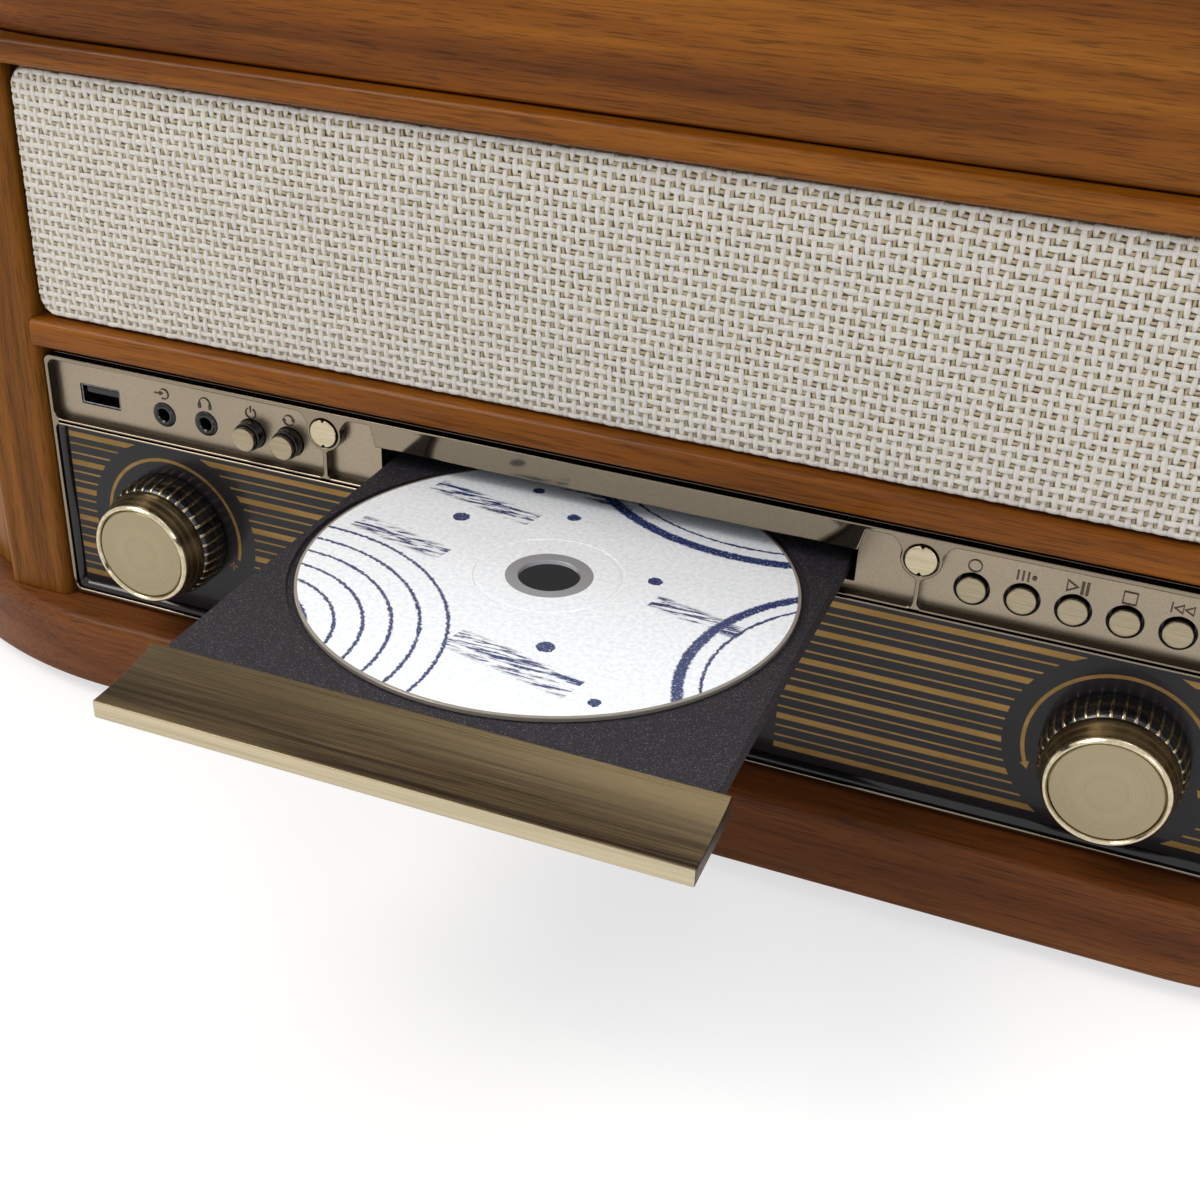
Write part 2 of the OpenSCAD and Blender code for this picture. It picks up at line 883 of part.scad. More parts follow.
module disc_clamp() {
    top = tray_top + 2;
    beam_z = top + 4;
    color("#4a4d50") {
        difference() {
            box([-chassis_half, closed_disc_y - 15, beam_z], [chassis_half, closed_disc_y + 15, beam_z + 2]);
            translate([0, closed_disc_y, beam_z - 1])
                cylinder(h = 4, r = 9);
        }
        for (s = [0, 1])
            mirror([s, 0, 0])
                box([chassis_half - 2, closed_disc_y - 15, top], [chassis_half, closed_disc_y + 15, beam_z]);
    }
    color(black)
        translate([0, closed_disc_y, 0]) {
            translate([0, 0, tray_top + 1])
                cylinder(h = beam_z - tray_top - 2, r = 14);
            translate([0, 0, beam_z - 1.5])
                cylinder(h = 4.5, r = 8);
            translate([0, 0, beam_z + 2 + gap])
                cylinder(h = 1.4, r = 12);
        }
}

module lift_frame() {
    z = chassis_z + 3;
    hw = 25;
    y0 = lift_y - 44;
    y1 = lift_y + 44;
    color("#6b6e72") {
        difference() {
            union() {
                box([-hw, y0, z], [hw, y1, z + 2]);
                for (x = [-27, 27], y = [lift_y - 38, lift_y + 38])
                    translate([x, y, z])
                        cylinder(h = 6, r = 4);
            }
            box([-16, closed_disc_y + 11, z - 1], [16, y1 - 6, z + 3]);
            for (x = [-27, 27], y = [lift_y - 38, lift_y + 38])
                translate([x, y, z - 1])
                    cylinder(h = 8, r = 1.5 + running);
        }
        // motor can under the hub, and the two rods that carry the sled
        translate([0, closed_disc_y, z])
            cylinder(h = 8, r = 10);
        translate([0, closed_disc_y, z])
            cylinder(h = seat_z - z - 1, r = 1.5);
        for (x = [-19, 19]) {
            bar_y(x, z + 4.5, 1.5, closed_disc_y + 8, y1 - 2);
            for (y = [closed_disc_y + 8, y1 - 5])
                box([x - 2.5, y, z + 2], [x + 2.5, y + 3, z + 7]);
        }
    }
}

module spindle_hub() {
    z = chassis_z + 3;
    color("#d9d4c4")
        translate([0, closed_disc_y, 0])
            difference() {
                union() {
                    translate([0, 0, z + 8 + gap])
                        cylinder(h = seat_z - z - 8 - gap, r = 5);
                    translate([0, 0, seat_z - disc_t - 1.5])
                        cylinder(h = 1.5, r = 13);
                    translate([0, 0, seat_z - disc_t])
                        cylinder(h = disc_t, r1 = disc_hole_r - 0.2, r2 = disc_hole_r - 0.9);
                }
                translate([0, 0, z])
                    cylinder(h = seat_z - z - 0.7, r = 1.5 + running);
            }
}

module laser_sled() {
    z = chassis_z + 3;
    y = closed_disc_y + 25;
    color("#2b2d30")
        difference() {
            union() {
                box([-23, y - 10, z + 2.5], [23, y + 10, z + 7]);
                box([-13, y - 9, z - 1.5], [13, y + 9, z + 8]);
                translate([0, y, z + 8])
                    cylinder(h = 1.5, r = 5);
            }
            for (x = [-19, 19])
                bar_y(x, z + 4.5, 1.5 + running, y - 12, y + 12);
        }
}

// ---- Grille and speakers ----

module grille_plate(h_play, r) {
    translate([0, speaker_z])
        round_rect(panel_w - 2 - h_play, cloth_h - h_play, r);
}

module grille_board() {
    color("#3a3028")
        upright(grille_y, speaker_y)
            difference() {
                grille_plate(0, 5);
                for (s = [-1, 1])
                    translate([s * speaker_x, speaker_z])
                        circle(speaker_hole_r);
            }
}

module grille_cloth() {
    color("#dcd8d0")
        upright(cloth_y, grille_y)
            grille_plate(0, 6);
}

module speaker_frames() {
    magnet_r = 20;
    color("#2a2a2c")
        for (s = [-1, 1])
            difference() {
                union() {
                    bar_y(s * speaker_x, speaker_z, speaker_r, speaker_y, speaker_y + 3);
                    bar_y(s * speaker_x, speaker_z, speaker_r - 3, speaker_y + 3, speaker_y + 20, 18);
                    bar_y(s * speaker_x, speaker_z, magnet_r, speaker_y + 20, speaker_y + 32);
                }
                bar_y(s * speaker_x, speaker_z, speaker_r - 4.5, speaker_y - 1, speaker_y + 3);
                bar_y(s * speaker_x, speaker_z, speaker_r - 4.5, speaker_y + 3 - 0.01, speaker_y + 18, 16);
                for (i = [0:3])
                    translate([s * speaker_x, speaker_y + 7, speaker_z])
                        rotate([0, 45 + i * 90, 0])
                            translate([0, 0, -6])
                                cube([speaker_r, 9, 12]);
            }
}

module speaker_cones() {
    color("#111111")
        for (s = [-1, 1])
            translate([s * speaker_x, speaker_y, speaker_z])
                rotate([-90, 0, 0])
                    rotate_extrude()
                        polygon([[0, 9], [7, 10.5], [speaker_r - 9, 1.6], [speaker_r - 4.6, 0.6],
                            [speaker_r - 4.6, 1.4], [speaker_r - 9, 2.6], [7.5, 17], [0, 17]]);
}

// ---- Inside and at the back ----

module power_supply() {
    color("#8b8478") {
        translate([-bay_x, bay_y, plinth_top]) {
            box([0, -bay_d, 0], [bay_w, 0, 3]);
            box([10, 10 - bay_d, 3], [60, -32, 38]);
            box([17, 3 - bay_d, 8], [53, -25, 33]);
            for (y = [-65, -40])
                translate([77, y, 3])
                    cylinder(h = 26, r = 8);
        }
    }
}

module amplifier_board() {
    fins = 7;
    board_top = 4 + board_thick;
    translate([bay_x, bay_y, plinth_top]) {
        color(board_green)
            box([-board_w, -bay_d, 4], [0, 0, board_top]);
        color(steel) {
            for (x = [4 - board_w, -4], y = [4 - bay_d, -4])
                translate([x, y, 0])
                    cylinder(h = 4, r = 3);
            translate([20 - board_w, -30, 0]) {
                for (i = [0:fins - 1])
                    box([i * 8, 0, board_top], [i * 8 + 2, 24, 36]);
                box([0, -4, board_top], [50, 0, 36]);
            }
        }
    }
}

module rear_sockets() {
    plate_y = cabinet_d + 1.5;
    color(black) {
        difference() {
            union() {
                upright(cabinet_d, plate_y)
                    translate([inlet_x, socket_z])
                        round_rect(36, 24, 3);
                upright(cabinet_d - back_t - 6, cabinet_d)
                    translate([inlet_x, socket_z])
                        round_rect(29, 17, 3);
            }
            upright(cabinet_d - back_t, plate_y + 1)
                translate([inlet_x, socket_z])
                    round_rect(15, 8.4, 4.1);
        }
        upright(cabinet_d, plate_y)
            translate([socket_x, socket_z])
                round_rect(66, 24, 3);
        upright(cabinet_d - back_t - 6, cabinet_d)
            translate([socket_x, socket_z])
                round_rect(59, 17, 3);
    }
    color(steel) {
        for (dx = [-3, 3])
            bar_y(inlet_x + dx, socket_z, 1.2, cabinet_d - back_t - 1, cabinet_d - 2);
        for (i = [-1, 0, 1])
            difference() {
                bar_y(socket_x + i * socket_pitch, socket_z, 4.2, cabinet_d, plate_y + 9);
                bar_y(socket_x + i * socket_pitch, socket_z, 1.6, plate_y, plate_y + 10);
            }
    }
}

// ---- Record deck ----

// Loop round the belt ring and the pulley, moved out by extra
module belt_outline(extra) {
    lean = acos((belt_ring_r - pulley_r) / motor_reach);
    steps = 60;
    small_steps = 12;
    turn = 180 - lean;
    polygon(concat(
        [for (i = [0:steps]) at(belt_ring_r + extra, -turn + 2 * turn * i / steps)],
        [for (i = [0:small_steps])
            [-motor_reach, 0] + at(pulley_r + extra, turn + 2 * lean * i / small_steps)]));
}

module deck_plate() {
    motor_hole = 9;
    color("#2c2a2a")
        difference() {
            union() {
                translate([0, 0, deck_top - deck_t])
                    linear_extrude(deck_t)
                        intersection() {
                            plan(inner_lip, cabinet_d - back_t - gap);
                            translate([-plinth_w, frame_d + gap])
                                square([2 * plinth_w, cabinet_d]);
                        }
                translate([spindle_x, spindle_y, well_floor - deck_t])
                    cylinder(h = deck_top - well_floor + deck_t, r = well_r + 3);
                translate([spindle_x, spindle_y, well_floor - 14])
                    cylinder(h = 14, r = 12);
                // post of the speed knob
                translate([speed_x, speed_y, deck_top - deck_t])
                    cylinder(h = deck_t + 3.8, r = 2);
            }
            translate([spindle_x, spindle_y, well_floor])
                cylinder(h = 20, r = well_r);
            translate([spindle_x, spindle_y, well_floor - 15])
                cylinder(h = 16, r = spindle_r);
            translate([pulley_x, spindle_y, well_floor - deck_t - 1])
                cylinder(h = deck_t + 2, r = motor_hole);
        }
}

module platter_spindle() {
    color(steel)
        translate([spindle_x, spindle_y, 0]) {
            translate([0, 0, well_floor - 14])
                cylinder(h = platter_top + 12 - well_floor + 14, r = spindle_r);
            translate([0, 0, platter_top + 12])
                cylinder(h = 2, r1 = spindle_r, r2 = 1.6);
            translate([0, 0, well_floor])
                cylinder(h = platter_z - well_floor - gap, r = 8);
        }
}

module platter() {
    top_t = 3.5;
    hub_r = 9;
    color("#3c3c3f")
        translate([spindle_x, spindle_y, 0])
            rotate_extrude($fn = 128)
                difference() {
                    union() {
                        translate([spindle_r + running, platter_top - top_t])
                            square([platter_r - spindle_r - running - 2, top_t]);
                        translate([platter_r - 6, platter_z])
                            square([6, platter_h - 2]);
                        translate([platter_r - 2, platter_top - 2])
                            circle(2);
                        translate([belt_ring_r - 4 - gap, platter_z])
                            square([4, platter_h - 1]);
                        translate([spindle_r + running, platter_z])
                            square([hub_r - spindle_r, platter_h - 1]);
                    }
                    translate([platter_r - 8, platter_z - 1])
                        square([4, platter_h - top_t + 1]);
                }
}

module platter_mat() {
    ridge_pitch = 4;
    color("#232323")
        translate([spindle_x, spindle_y, 0])
            rotate_extrude($fn = 128)
                difference() {
                    translate([spindle_r + 0.4, platter_top])
                        square([platter_r - 7 - spindle_r, 2.5]);
                    for (q = [56:ridge_pitch:platter_r - 12])
                        translate([q, platter_top + 2.1])
                            square([1.4, 1]);
                    translate([0, platter_top + 2])
                        square([50, 1]);
                }
}

module deck_motor() {
    color(steel)
        translate([pulley_x, spindle_y, 0]) {
            translate([0, 0, well_floor - deck_t - 22])
                cylinder(h = 20, r = 14);
            translate([0, 0, well_floor - deck_t - 2])
                cylinder(h = 2, r = 17);
            translate([0, 0, well_floor - deck_t])
                cylinder(h = belt_z - well_floor + deck_t + belt_h, r = 1);
        }
}

module motor_pulley() {
    color("#b08d57")
        translate([pulley_x, spindle_y, 0])
            difference() {
                union() {
                    translate([0, 0, belt_z - 0.5])
                        cylinder(h = belt_h + 1, r = pulley_r - gap);
                    translate([0, 0, belt_z - 1.5])
                        cylinder(h = 1, r = pulley_r + 1);
                }
                translate([0, 0, belt_z - 2])
                    cylinder(h = belt_h + 4, r = 1 + running);
            }
}

module drive_belt() {
    color(black)
        translate([spindle_x, spindle_y, belt_z])
            linear_extrude(belt_h)
                difference() {
                    belt_outline(belt_t);
                    belt_outline(0);
                }
}

gimbal_foot = 8;
module arm_base() {
    ear = 4.5;
    color("#2c2a2a") {
        translate([arm_x, arm_y, deck_top]) {
            cylinder(h = 2, r = 24);
            cylinder(h = gimbal_foot, r = 20);
            cylinder(h = gimbal_foot + 6, r = 4);
        }
        // bracket and pin of the cueing lever
        box([cue_x - 7, cue_y - 6, deck_top], [cue_x + 7, cue_y + 6, deck_top + 2]);
        for (s = [-1, 1])
            translate([cue_x + s * (ear + 0.75), cue_y, 0])
                box([-0.75, -4, deck_top], [0.75, 4, cue_z + 3]);
        translate([cue_x - ear - 1, cue_y, cue_z])
            rotate([0, 90, 0])
                cylinder(h = 2 * ear + 2, r = 1.5);
    }
}

module arm_gimbal() {
    fork = 13;
    z0 = deck_top + gimbal_foot + gap;
    color(steel)
        difference() {
            union() {
                translate([arm_x, arm_y, z0])
                    cylinder(h = 7, r = 17);
                for (s = [-1, 1])
                    translate([arm_x + s * fork, arm_y, z0])
                        box([-2, -7, 6], [2, 7, arm_z - z0 + 6]);
            }
            translate([arm_x, arm_y, z0 - 1])
                cylinder(h = 7.5, r = 4 + running);
            translate([arm_x - fork - 3, arm_y, arm_z])
                rotate([0, 90, 0])
                    cylinder(h = 2 * fork + 6, r = 1.5 + running);
        }
}

module arm_tube() {
    color("#c6c8ca") {
        bar_y(arm_x, arm_z, arm_r, shell_y, arm_y + 30);
        bar_y(arm_x, arm_z, 7.5, arm_y - 9, arm_y + 9);
        bar_y(arm_x, arm_z, 10.5, arm_y + 18, arm_y + 40);
        translate([arm_x - 15, arm_y, arm_z])
            rotate([0, 90, 0])
                cylinder(h = 30, r = 1.5);
    }
}

module headshell() {
    color(black) {
        box([arm_x - 9, shell_y - shell_l, arm_z - 1.5], [arm_x + 9, shell_y, arm_z + 1.5]);
        box([arm_x - 7, stylus_y - 10, arm_z - 9], [arm_x + 7, stylus_y + 12, arm_z - 1.5]);
        translate([arm_x, stylus_y - 4, arm_z - 12])
            cylinder(h = 3, r1 = 0.5, r2 = 1.6);
        box([arm_x + 9, stylus_y - 8, arm_z - 1.5], [arm_x + 17, stylus_y - 3, arm_z]);
    }
}

module arm_rest() {
    y = arm_y - 110;
    color(black) {
        translate([arm_x + 2, y, deck_top])
            cylinder(h = arm_rise - arm_r - gap, r = 4);
        translate([0, 0, arm_z])
            box([arm_x - 5, y - 4, -arm_r - gap - 3], [arm_x + 9, y + 4, -arm_r - gap]);
        translate([0, 0, arm_z])
            box([arm_x + arm_r + 1, y - 4, -arm_r - gap - 1], [arm_x + 9, y + 4, 3]);
    }
}

module cue_lever() {
    color(black)
        difference() {
            union() {
                translate([cue_x - 4, cue_y, cue_z])
                    rotate([0, 90, 0])
                        cylinder(h = 8, r = 4);
                box([cue_x - 2, cue_y - 34, cue_z - 2], [cue_x + 2, cue_y, cue_z + 2]);
                translate([cue_x - 5, cue_y - 34, cue_z])
                    rotate([0, 90, 0])
                        cylinder(h = 10, r = 4);
            }
            translate([cue_x - 6, cue_y, cue_z])
                rotate([0, 90, 0])
                    cylinder(h = 12, r = 1.5 + running);
        }
}

module speed_knob() {
    color(black)
        translate([speed_x, speed_y, deck_top + gap])
            difference() {
                union() {
                    cylinder(h = 6, r = 10);
                    box([-1.5, -15, 1], [1.5, -8, 6]);
                }
                translate([0, 0, -1])
                    cylinder(h = 5, r = 2 + running);
            }
}

// ---- Lid and hinges ----

lid_back = cabinet_d;

module lid() {
    color(wood)
        difference() {
            translate([0, 0, lid_bottom])
                linear_extrude(lid_h)
                    plan(lid_inset, lid_back);
            translate([0, 0, lid_bottom - 1])
                linear_extrude(lid_h + 1 - lid_t)
                    plan(lid_inset + lid_t, lid_back - lid_t);
        }
}

knuckle = 12;
module cabinet_hinges() {
    color(brass)
        for (s = [-1, 1])
            translate([s * hinge_x, 0, 0]) {
                box([-1.5 * knuckle, cabinet_d, lid_bottom - 24],
                    [1.5 * knuckle, cabinet_d + 1.4, lid_bottom - hinge_r]);
                for (t = [-1, 1])
                    translate([t * knuckle, 0, 0]) {
                        box([-knuckle / 2 + gap, cabinet_d, lid_bottom - hinge_r - 1],
                            [knuckle / 2, hinge_y, lid_bottom - hinge_r / 2]);
                        translate([-knuckle / 2 + gap, hinge_y, lid_bottom])
                            rotate([0, 90, 0])
                                cylinder(h = knuckle - gap, r = hinge_r);
                    }
                translate([-1.5 * knuckle, hinge_y, lid_bottom])
                    rotate([0, 90, 0])
                        cylinder(h = 3 * knuckle, r = hinge_pin_r);
            }
}

module lid_hinges() {
    color(brass)
        for (s = [-1, 1])
            translate([s * hinge_x, 0, 0])
                difference() {
                    union() {
                        box([-1.5 * knuckle, cabinet_d, lid_bottom + hinge_r + 0.5],
                            [1.5 * knuckle, cabinet_d + 1.4, lid_bottom + 24]);
                        box([-knuckle / 2 + gap, cabinet_d, lid_bottom + hinge_r / 2],
                            [knuckle / 2 - gap, hinge_y, lid_bottom + hinge_r + 1]);
                        translate([-knuckle / 2 + gap, hinge_y, lid_bottom])
                            rotate([0, 90, 0])
                                cylinder(h = knuckle - 2 * gap, r = hinge_r);
                    }
                    translate([-knuckle, hinge_y, lid_bottom])
                        rotate([0, 90, 0])
                            cylinder(h = 2 * knuckle, r = hinge_pin_r + running);
                }
}

// ---- The pieces ----

plinth();
side_walls();
front_posts();
rail_mid();
rail_top();
back_panel();
feet();
bezel_panel();
dial_glass();
display_module();
trim_caps();
grille_board();
grille_cloth();
speaker_frames();
speaker_cones();
usb_socket();
jack_sockets();
front_board();
control_pots();
cd_chassis();
disc_clamp();
deck_plate();
deck_motor();
platter_spindle();
drive_belt();
arm_base();
arm_rest();
power_supply();
amplifier_board();
rear_sockets();
cabinet_hinges();
lid();
lid_hinges();
platter();
platter_mat();
motor_pulley();
arm_gimbal();
arm_tube();
headshell();
cue_lever();
speed_knob();
cd_tray();
tray_front();
compact_disc();
loading_gear();
lift_frame();
spindle_hub();
laser_sled();
knob_grip(-knob_x);  // volume_grip
knob_cap(-knob_x);  // volume_cap
knob_grip(knob_x);  // tuning_grip
knob_cap(knob_x);  // tuning_cap
button(left_buttons[0], -tall_button_face);  // power_button
button(left_buttons[1], -tall_button_face);  // function_button
button(right_buttons[0], button_face);  // record_button
button(right_buttons[1], button_face);  // mode_button
button(right_buttons[2], button_face);  // play_button
button(right_buttons[3], button_face);  // stop_button
button(right_buttons[4], button_face);  // previous_button
button(right_buttons[5], button_face);  // next_button
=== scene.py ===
"""Looks of a retro music centre: oiled wood, woven grille cloth, a bronze-plated dial panel with
knobs and buttons, an open disc drawer, and a record deck under the lid. Sizes are in millimetres
in the code and metres in the scene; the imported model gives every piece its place."""
import json
import math

import bmesh
import bpy
from mathutils import Matrix, Vector


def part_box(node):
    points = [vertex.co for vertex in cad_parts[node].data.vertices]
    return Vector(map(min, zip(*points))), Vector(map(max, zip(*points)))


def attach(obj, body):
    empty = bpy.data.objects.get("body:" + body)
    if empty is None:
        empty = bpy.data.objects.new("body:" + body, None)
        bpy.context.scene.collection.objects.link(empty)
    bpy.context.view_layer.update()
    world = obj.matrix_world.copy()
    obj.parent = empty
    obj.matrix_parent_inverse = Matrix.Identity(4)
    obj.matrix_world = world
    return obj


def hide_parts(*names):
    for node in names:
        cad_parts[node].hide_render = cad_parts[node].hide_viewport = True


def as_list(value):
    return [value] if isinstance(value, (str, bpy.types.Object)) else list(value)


bl_info = {
    "name": "Music centre",
    "version": (1, 0, 0),
    "blender": (4, 5, 0),
    "location": "3D View > Sidebar > Music centre",
    "description": "Builds the visible surfaces of a retro stereo music centre",
    "category": "Object",
}

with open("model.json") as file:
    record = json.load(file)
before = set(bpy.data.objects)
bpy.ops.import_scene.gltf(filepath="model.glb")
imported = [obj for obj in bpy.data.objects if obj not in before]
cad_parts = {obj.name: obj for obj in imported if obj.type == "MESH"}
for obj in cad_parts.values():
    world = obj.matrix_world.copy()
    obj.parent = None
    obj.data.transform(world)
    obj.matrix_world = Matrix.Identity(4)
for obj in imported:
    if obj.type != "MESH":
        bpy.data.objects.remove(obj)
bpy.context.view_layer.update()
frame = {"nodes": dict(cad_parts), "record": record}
MM = 0.001
WELD = 0.002 * MM
SIDES = ((-1, "left"), (1, "right"))


def reach(node):
    """Lowest and highest corner of a CAD node in millimetres."""
    low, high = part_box(node)
    return low / MM, high / MM


# Places that every piece shares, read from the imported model
PANEL_LOW, PANEL_HIGH = reach("bezel_panel")
PANEL_TOP, PANEL_BOTTOM, PANEL_HALF = PANEL_HIGH.z, PANEL_LOW.z, PANEL_HIGH.x
PLINTH_LOW, PLINTH_HIGH = reach("plinth")
LID_LOW, LID_HIGH = reach("lid")
TRAY_TOP = reach("cd_tray")[1].z
DISC_LOW, DISC_HIGH = reach("compact_disc")
DISC_Y = (DISC_LOW.y + DISC_HIGH.y) / 2
CLOTH_LOW, CLOTH_HIGH = reach("grille_cloth")

# Layout of the panel and the deck
RIM = 1.4
DIVIDER = PANEL_TOP - 20.6
CONTROL_Z = PANEL_TOP - 12.7
SYMBOL_Z = PANEL_TOP - 6.3
KNOB_X, KNOB_Z = 134.5, PANEL_TOP - 49
TRIM_X, TRIM_Z = 81.4, PANEL_TOP - 6.4
SLOT_TOP = PANEL_TOP - 7.35
LINE_JACK_X, HEADPHONE_JACK_X = -134.4, -120.7
USB_X, USB_Z = -155.75, PANEL_TOP - 11.4
BUTTONS = {
    "power_button": -105.9,
    "function_button": -93.9,
    "record_button": 93.9,
    "mode_button": 105.9,
    "play_button": 117.9,
    "stop_button": 129.9,
    "previous_button": 141.9,
    "next_button": 153.9,
}
SPINDLE = (-45, 164, 0)
PULLEY = (-125, 164, 0)


# ---- Colours and materials ----

MATERIALS = {}

# Kinds of node that the trees use most, planes, and settings for mixing colours
MATH, VECTOR_MATH = "ShaderNodeMath", "ShaderNodeVectorMath"
NOISE, MAPPING, COORDS = "ShaderNodeTexNoise", "ShaderNodeMapping", "ShaderNodeTexCoord"
RAMP, MIX = "ShaderNodeValToRGB", "ShaderNodeMix"
LEVEL, UPRIGHT = (1, 1, 0), (1, 0, 1)
COVER = {"data_type": "RGBA", "blend_type": "MIX"}
DARKEN = {"data_type": "RGBA", "blend_type": "MULTIPLY"}


def srgb(text):
    """A hex colour as linear red, green, blue and alpha."""
    parts = [int(text[i : i + 2], 16) / 255 for i in (1, 3, 5)]
    return [p / 12.92 if p <= 0.04045 else ((p + 0.055) / 1.055) ** 2.4 for p in parts] + [1]


def add_node(tree, kind, inputs=(), out=None, stops=(), **settings):
    """Adds a node and returns its first output or the one named. Inputs come in order or by
    name, each a value, a hex colour or an output. Stops are a ramp's places and tones."""
    made = tree.nodes.new(kind)
    for key, value in settings.items():
        setattr(made, key, value)
    if not isinstance(inputs, dict):
        shown = (socket for socket in made.inputs if socket.enabled)
        inputs = {list(made.inputs).index(socket): value for socket, value in zip(shown, inputs)}
    for key, value in inputs.items():
        if isinstance(value, bpy.types.NodeSocket):
            tree.links.new(value, made.inputs[key])
        else:
            made.inputs[key].default_value = srgb(value) if isinstance(value, str) else value
    for i, (where, tone) in enumerate(stops):
        points = made.color_ramp.elements
        point = points[i] if i < 2 else points.new(where)
        point.position = where
        point.color = srgb(tone) if isinstance(tone, str) else (tone, tone, tone, 1)
    return made.outputs[out] if out else next((s for s in made.outputs if s.enabled), made)


def chain(tree, kind, value, *steps):
    """Runs a value through nodes of one kind, each given by its operation and other inputs."""
    for operation, *others in steps:
        value = add_node(tree, kind, [value, *others], operation=operation)
    return value


def surface(name, color, roughness, metallic=0.0, **more):
    """A material with one Principled shader, and its tree for a pattern to be added."""
    material = bpy.data.materials.new(name)
    material.use_nodes = True
    tree = material.node_tree
    shader = tree.nodes["Principled BSDF"]
    shader.inputs["Base Color"].default_value = srgb(color)
    shader.inputs["Roughness"].default_value = roughness
    shader.inputs["Metallic"].default_value = metallic
    for key, value in more.items():
        shader.inputs[key.replace("_", " ").title().replace("Ior", "IOR")].default_value = value
    return material, tree, shader


def dress(made, color, gloss=(), height=None, depth_mm=0.0):
    """Gives a surface its colour and roughness, each a pattern with the stops of its tones, and
    a pattern raised by up to depth_mm. A colour that is made already needs no stops."""
    material, tree, shader = made
    for key, look in (("Base Color", color), ("Roughness", gloss)):
        if look:
            pattern, *stops = look
            tone = add_node(tree, RAMP, [pattern], stops=stops) if stops else pattern
            tree.links.new(tone, shader.inputs[key])
    if depth_mm:
        inputs = {"Height": height, "Strength": 1.0, "Distance": depth_mm * MM}
        normal = add_node(tree, "ShaderNodeBump", inputs, "Normal")
        tree.links.new(normal, shader.inputs["Normal"])
    return material


def mottle(tree, scale, detail, rough=0.5, shift=(0, 0, 0), bend=0.0, where=None, turn=0.0):
    """Noise on Object coordinates, or on another vector. Scale is in waves per unit, one number
    or one for each axis; turn is in degrees about Z."""
    if where is None:
        where = add_node(tree, COORDS, out="Object")
    scale = (scale,) * 3 if isinstance(scale, (int, float)) else scale
    inputs = {"Vector": where, "Location": shift, "Rotation": (0, 0, math.radians(turn)), "Scale": scale}
    where = add_node(tree, MAPPING, inputs)
    inputs = {"Vector": where, "Scale": 1, "Detail": detail, "Roughness": rough, "Distortion": bend}
    return add_node(tree, NOISE, inputs)


def weighted(tree, first, second, share):
    """Two patterns added up, the first with its share of the whole."""
    rest = chain(tree, MATH, second, ("MULTIPLY", 1 - share))
    return chain(tree, MATH, first, ("MULTIPLY", share), ("ADD", rest))


def stained_wood(name, axis, dark, middle, light, roughness=0.42, coat=0.03):
    """Stained oak-like veneer under satin lacquer: long grain streaks, fine dark pores and slow
    changes of tone along the board. axis is the one that the fibres follow."""
    made = surface(name, middle, roughness, specular_ior_level=0.09, coat_weight=coat, coat_roughness=0.12)
    tree, figures = made[1], []
    for length_mm, width_mm, shift, detail, rough, bend in (
        (260, 9, 3.1, 3, 0.55, 0.35),
        (70, 1.5, 0.0, 4, 0.6, 0.0),
        (11, 0.42, 7.7, 2, 0.5, 0.0),
        (190, 70, 1.3, 2, 0.5, 0.0),
    ):
        scale = [1000 / width_mm] * 3
        scale["xyz".index(axis)] = 1000 / length_mm
        figures.append(mottle(tree, scale, detail, rough, (shift,) * 3, bend))
    bands, streaks, pores, slow = figures
    color = add_node(tree, RAMP, [bands], stops=((0.30, dark), (0.50, middle), (0.72, light)))
    shades = []
    for figure, amount, stops in (
        (streaks, 0.75, ((0.34, 0.66), (0.56, 1.0))),
        (pores, 0.8, ((0.36, 0.5), (0.47, 1.0))),
        (slow, 0.7, ((0.3, 0.72), (0.7, 1.0))),
    ):
        shades.append(add_node(tree, RAMP, [figure], stops=stops))
        color = add_node(tree, MIX, [amount, color, shades[-1]], **DARKEN)
    height = add_node(tree, MIX, [0.5, *shades[:2]], **DARKEN)
    return dress(made, [color], (), height, 0.05)


def plated_bronze(name, roughness, grit, dark="#7a6f60", light="#887d6c"):
    """Bronze-tinted nickel plating on moulded plastic: a clean reflection on the polished parts,
    and a fine even grain where the mould was matt."""
    made = surface(name, light, roughness, 1.0)
    tree = made[1]
    grain = mottle(tree, 2600, 2)
    gloss = mottle(tree, 30, 2), (0.3, roughness * 0.8), (0.7, min(1.0, roughness * 1.25))
    return dress(made, (grain, (0.3, dark), (0.7, light)), gloss, grain, grit)


def moulded_plastic(name, color, pale, roughness, grain_mm=0.5, depth=0.02, **more):
    """Moulded ABS: an even colour with a fine spark-eroded grain and faint wear on its gloss."""
    made = surface(name, color, roughness, **more)
    tree = made[1]
    grain = mottle(tree, 1000 / grain_mm, 3, 0.6)
    wear = mottle(tree, 22, 3, 0.55), (0.3, roughness * 0.85), (0.7, min(1.0, roughness * 1.2))
    return dress(made, (grain, (0.35, color), (0.75, pale)), wear, grain, depth)


def brushed_metal(name, dark, light, roughness, axis="x", pitch=0.16, length=38.0, aniso=0.4):
    """Metal brushed along one axis: fine parallel scratches that change tone and gloss."""
    made = surface(name, light, roughness, 1.0, anisotropic=aniso)
    tree = made[1]
    scale = [1000 / pitch] * 3
    scale["xyz".index(axis)] = 1000 / length
    fine = mottle(tree, scale, 3, 0.6)
    both = weighted(tree, fine, mottle(tree, [s / 6 for s in scale], 2, shift=(5, 5, 5)), 0.55)
    gloss = fine, (0.3, roughness * 0.75), (0.7, roughness * 1.3)
    return dress(made, (both, (0.36, dark), (0.62, light)), gloss, fine, 0.012)


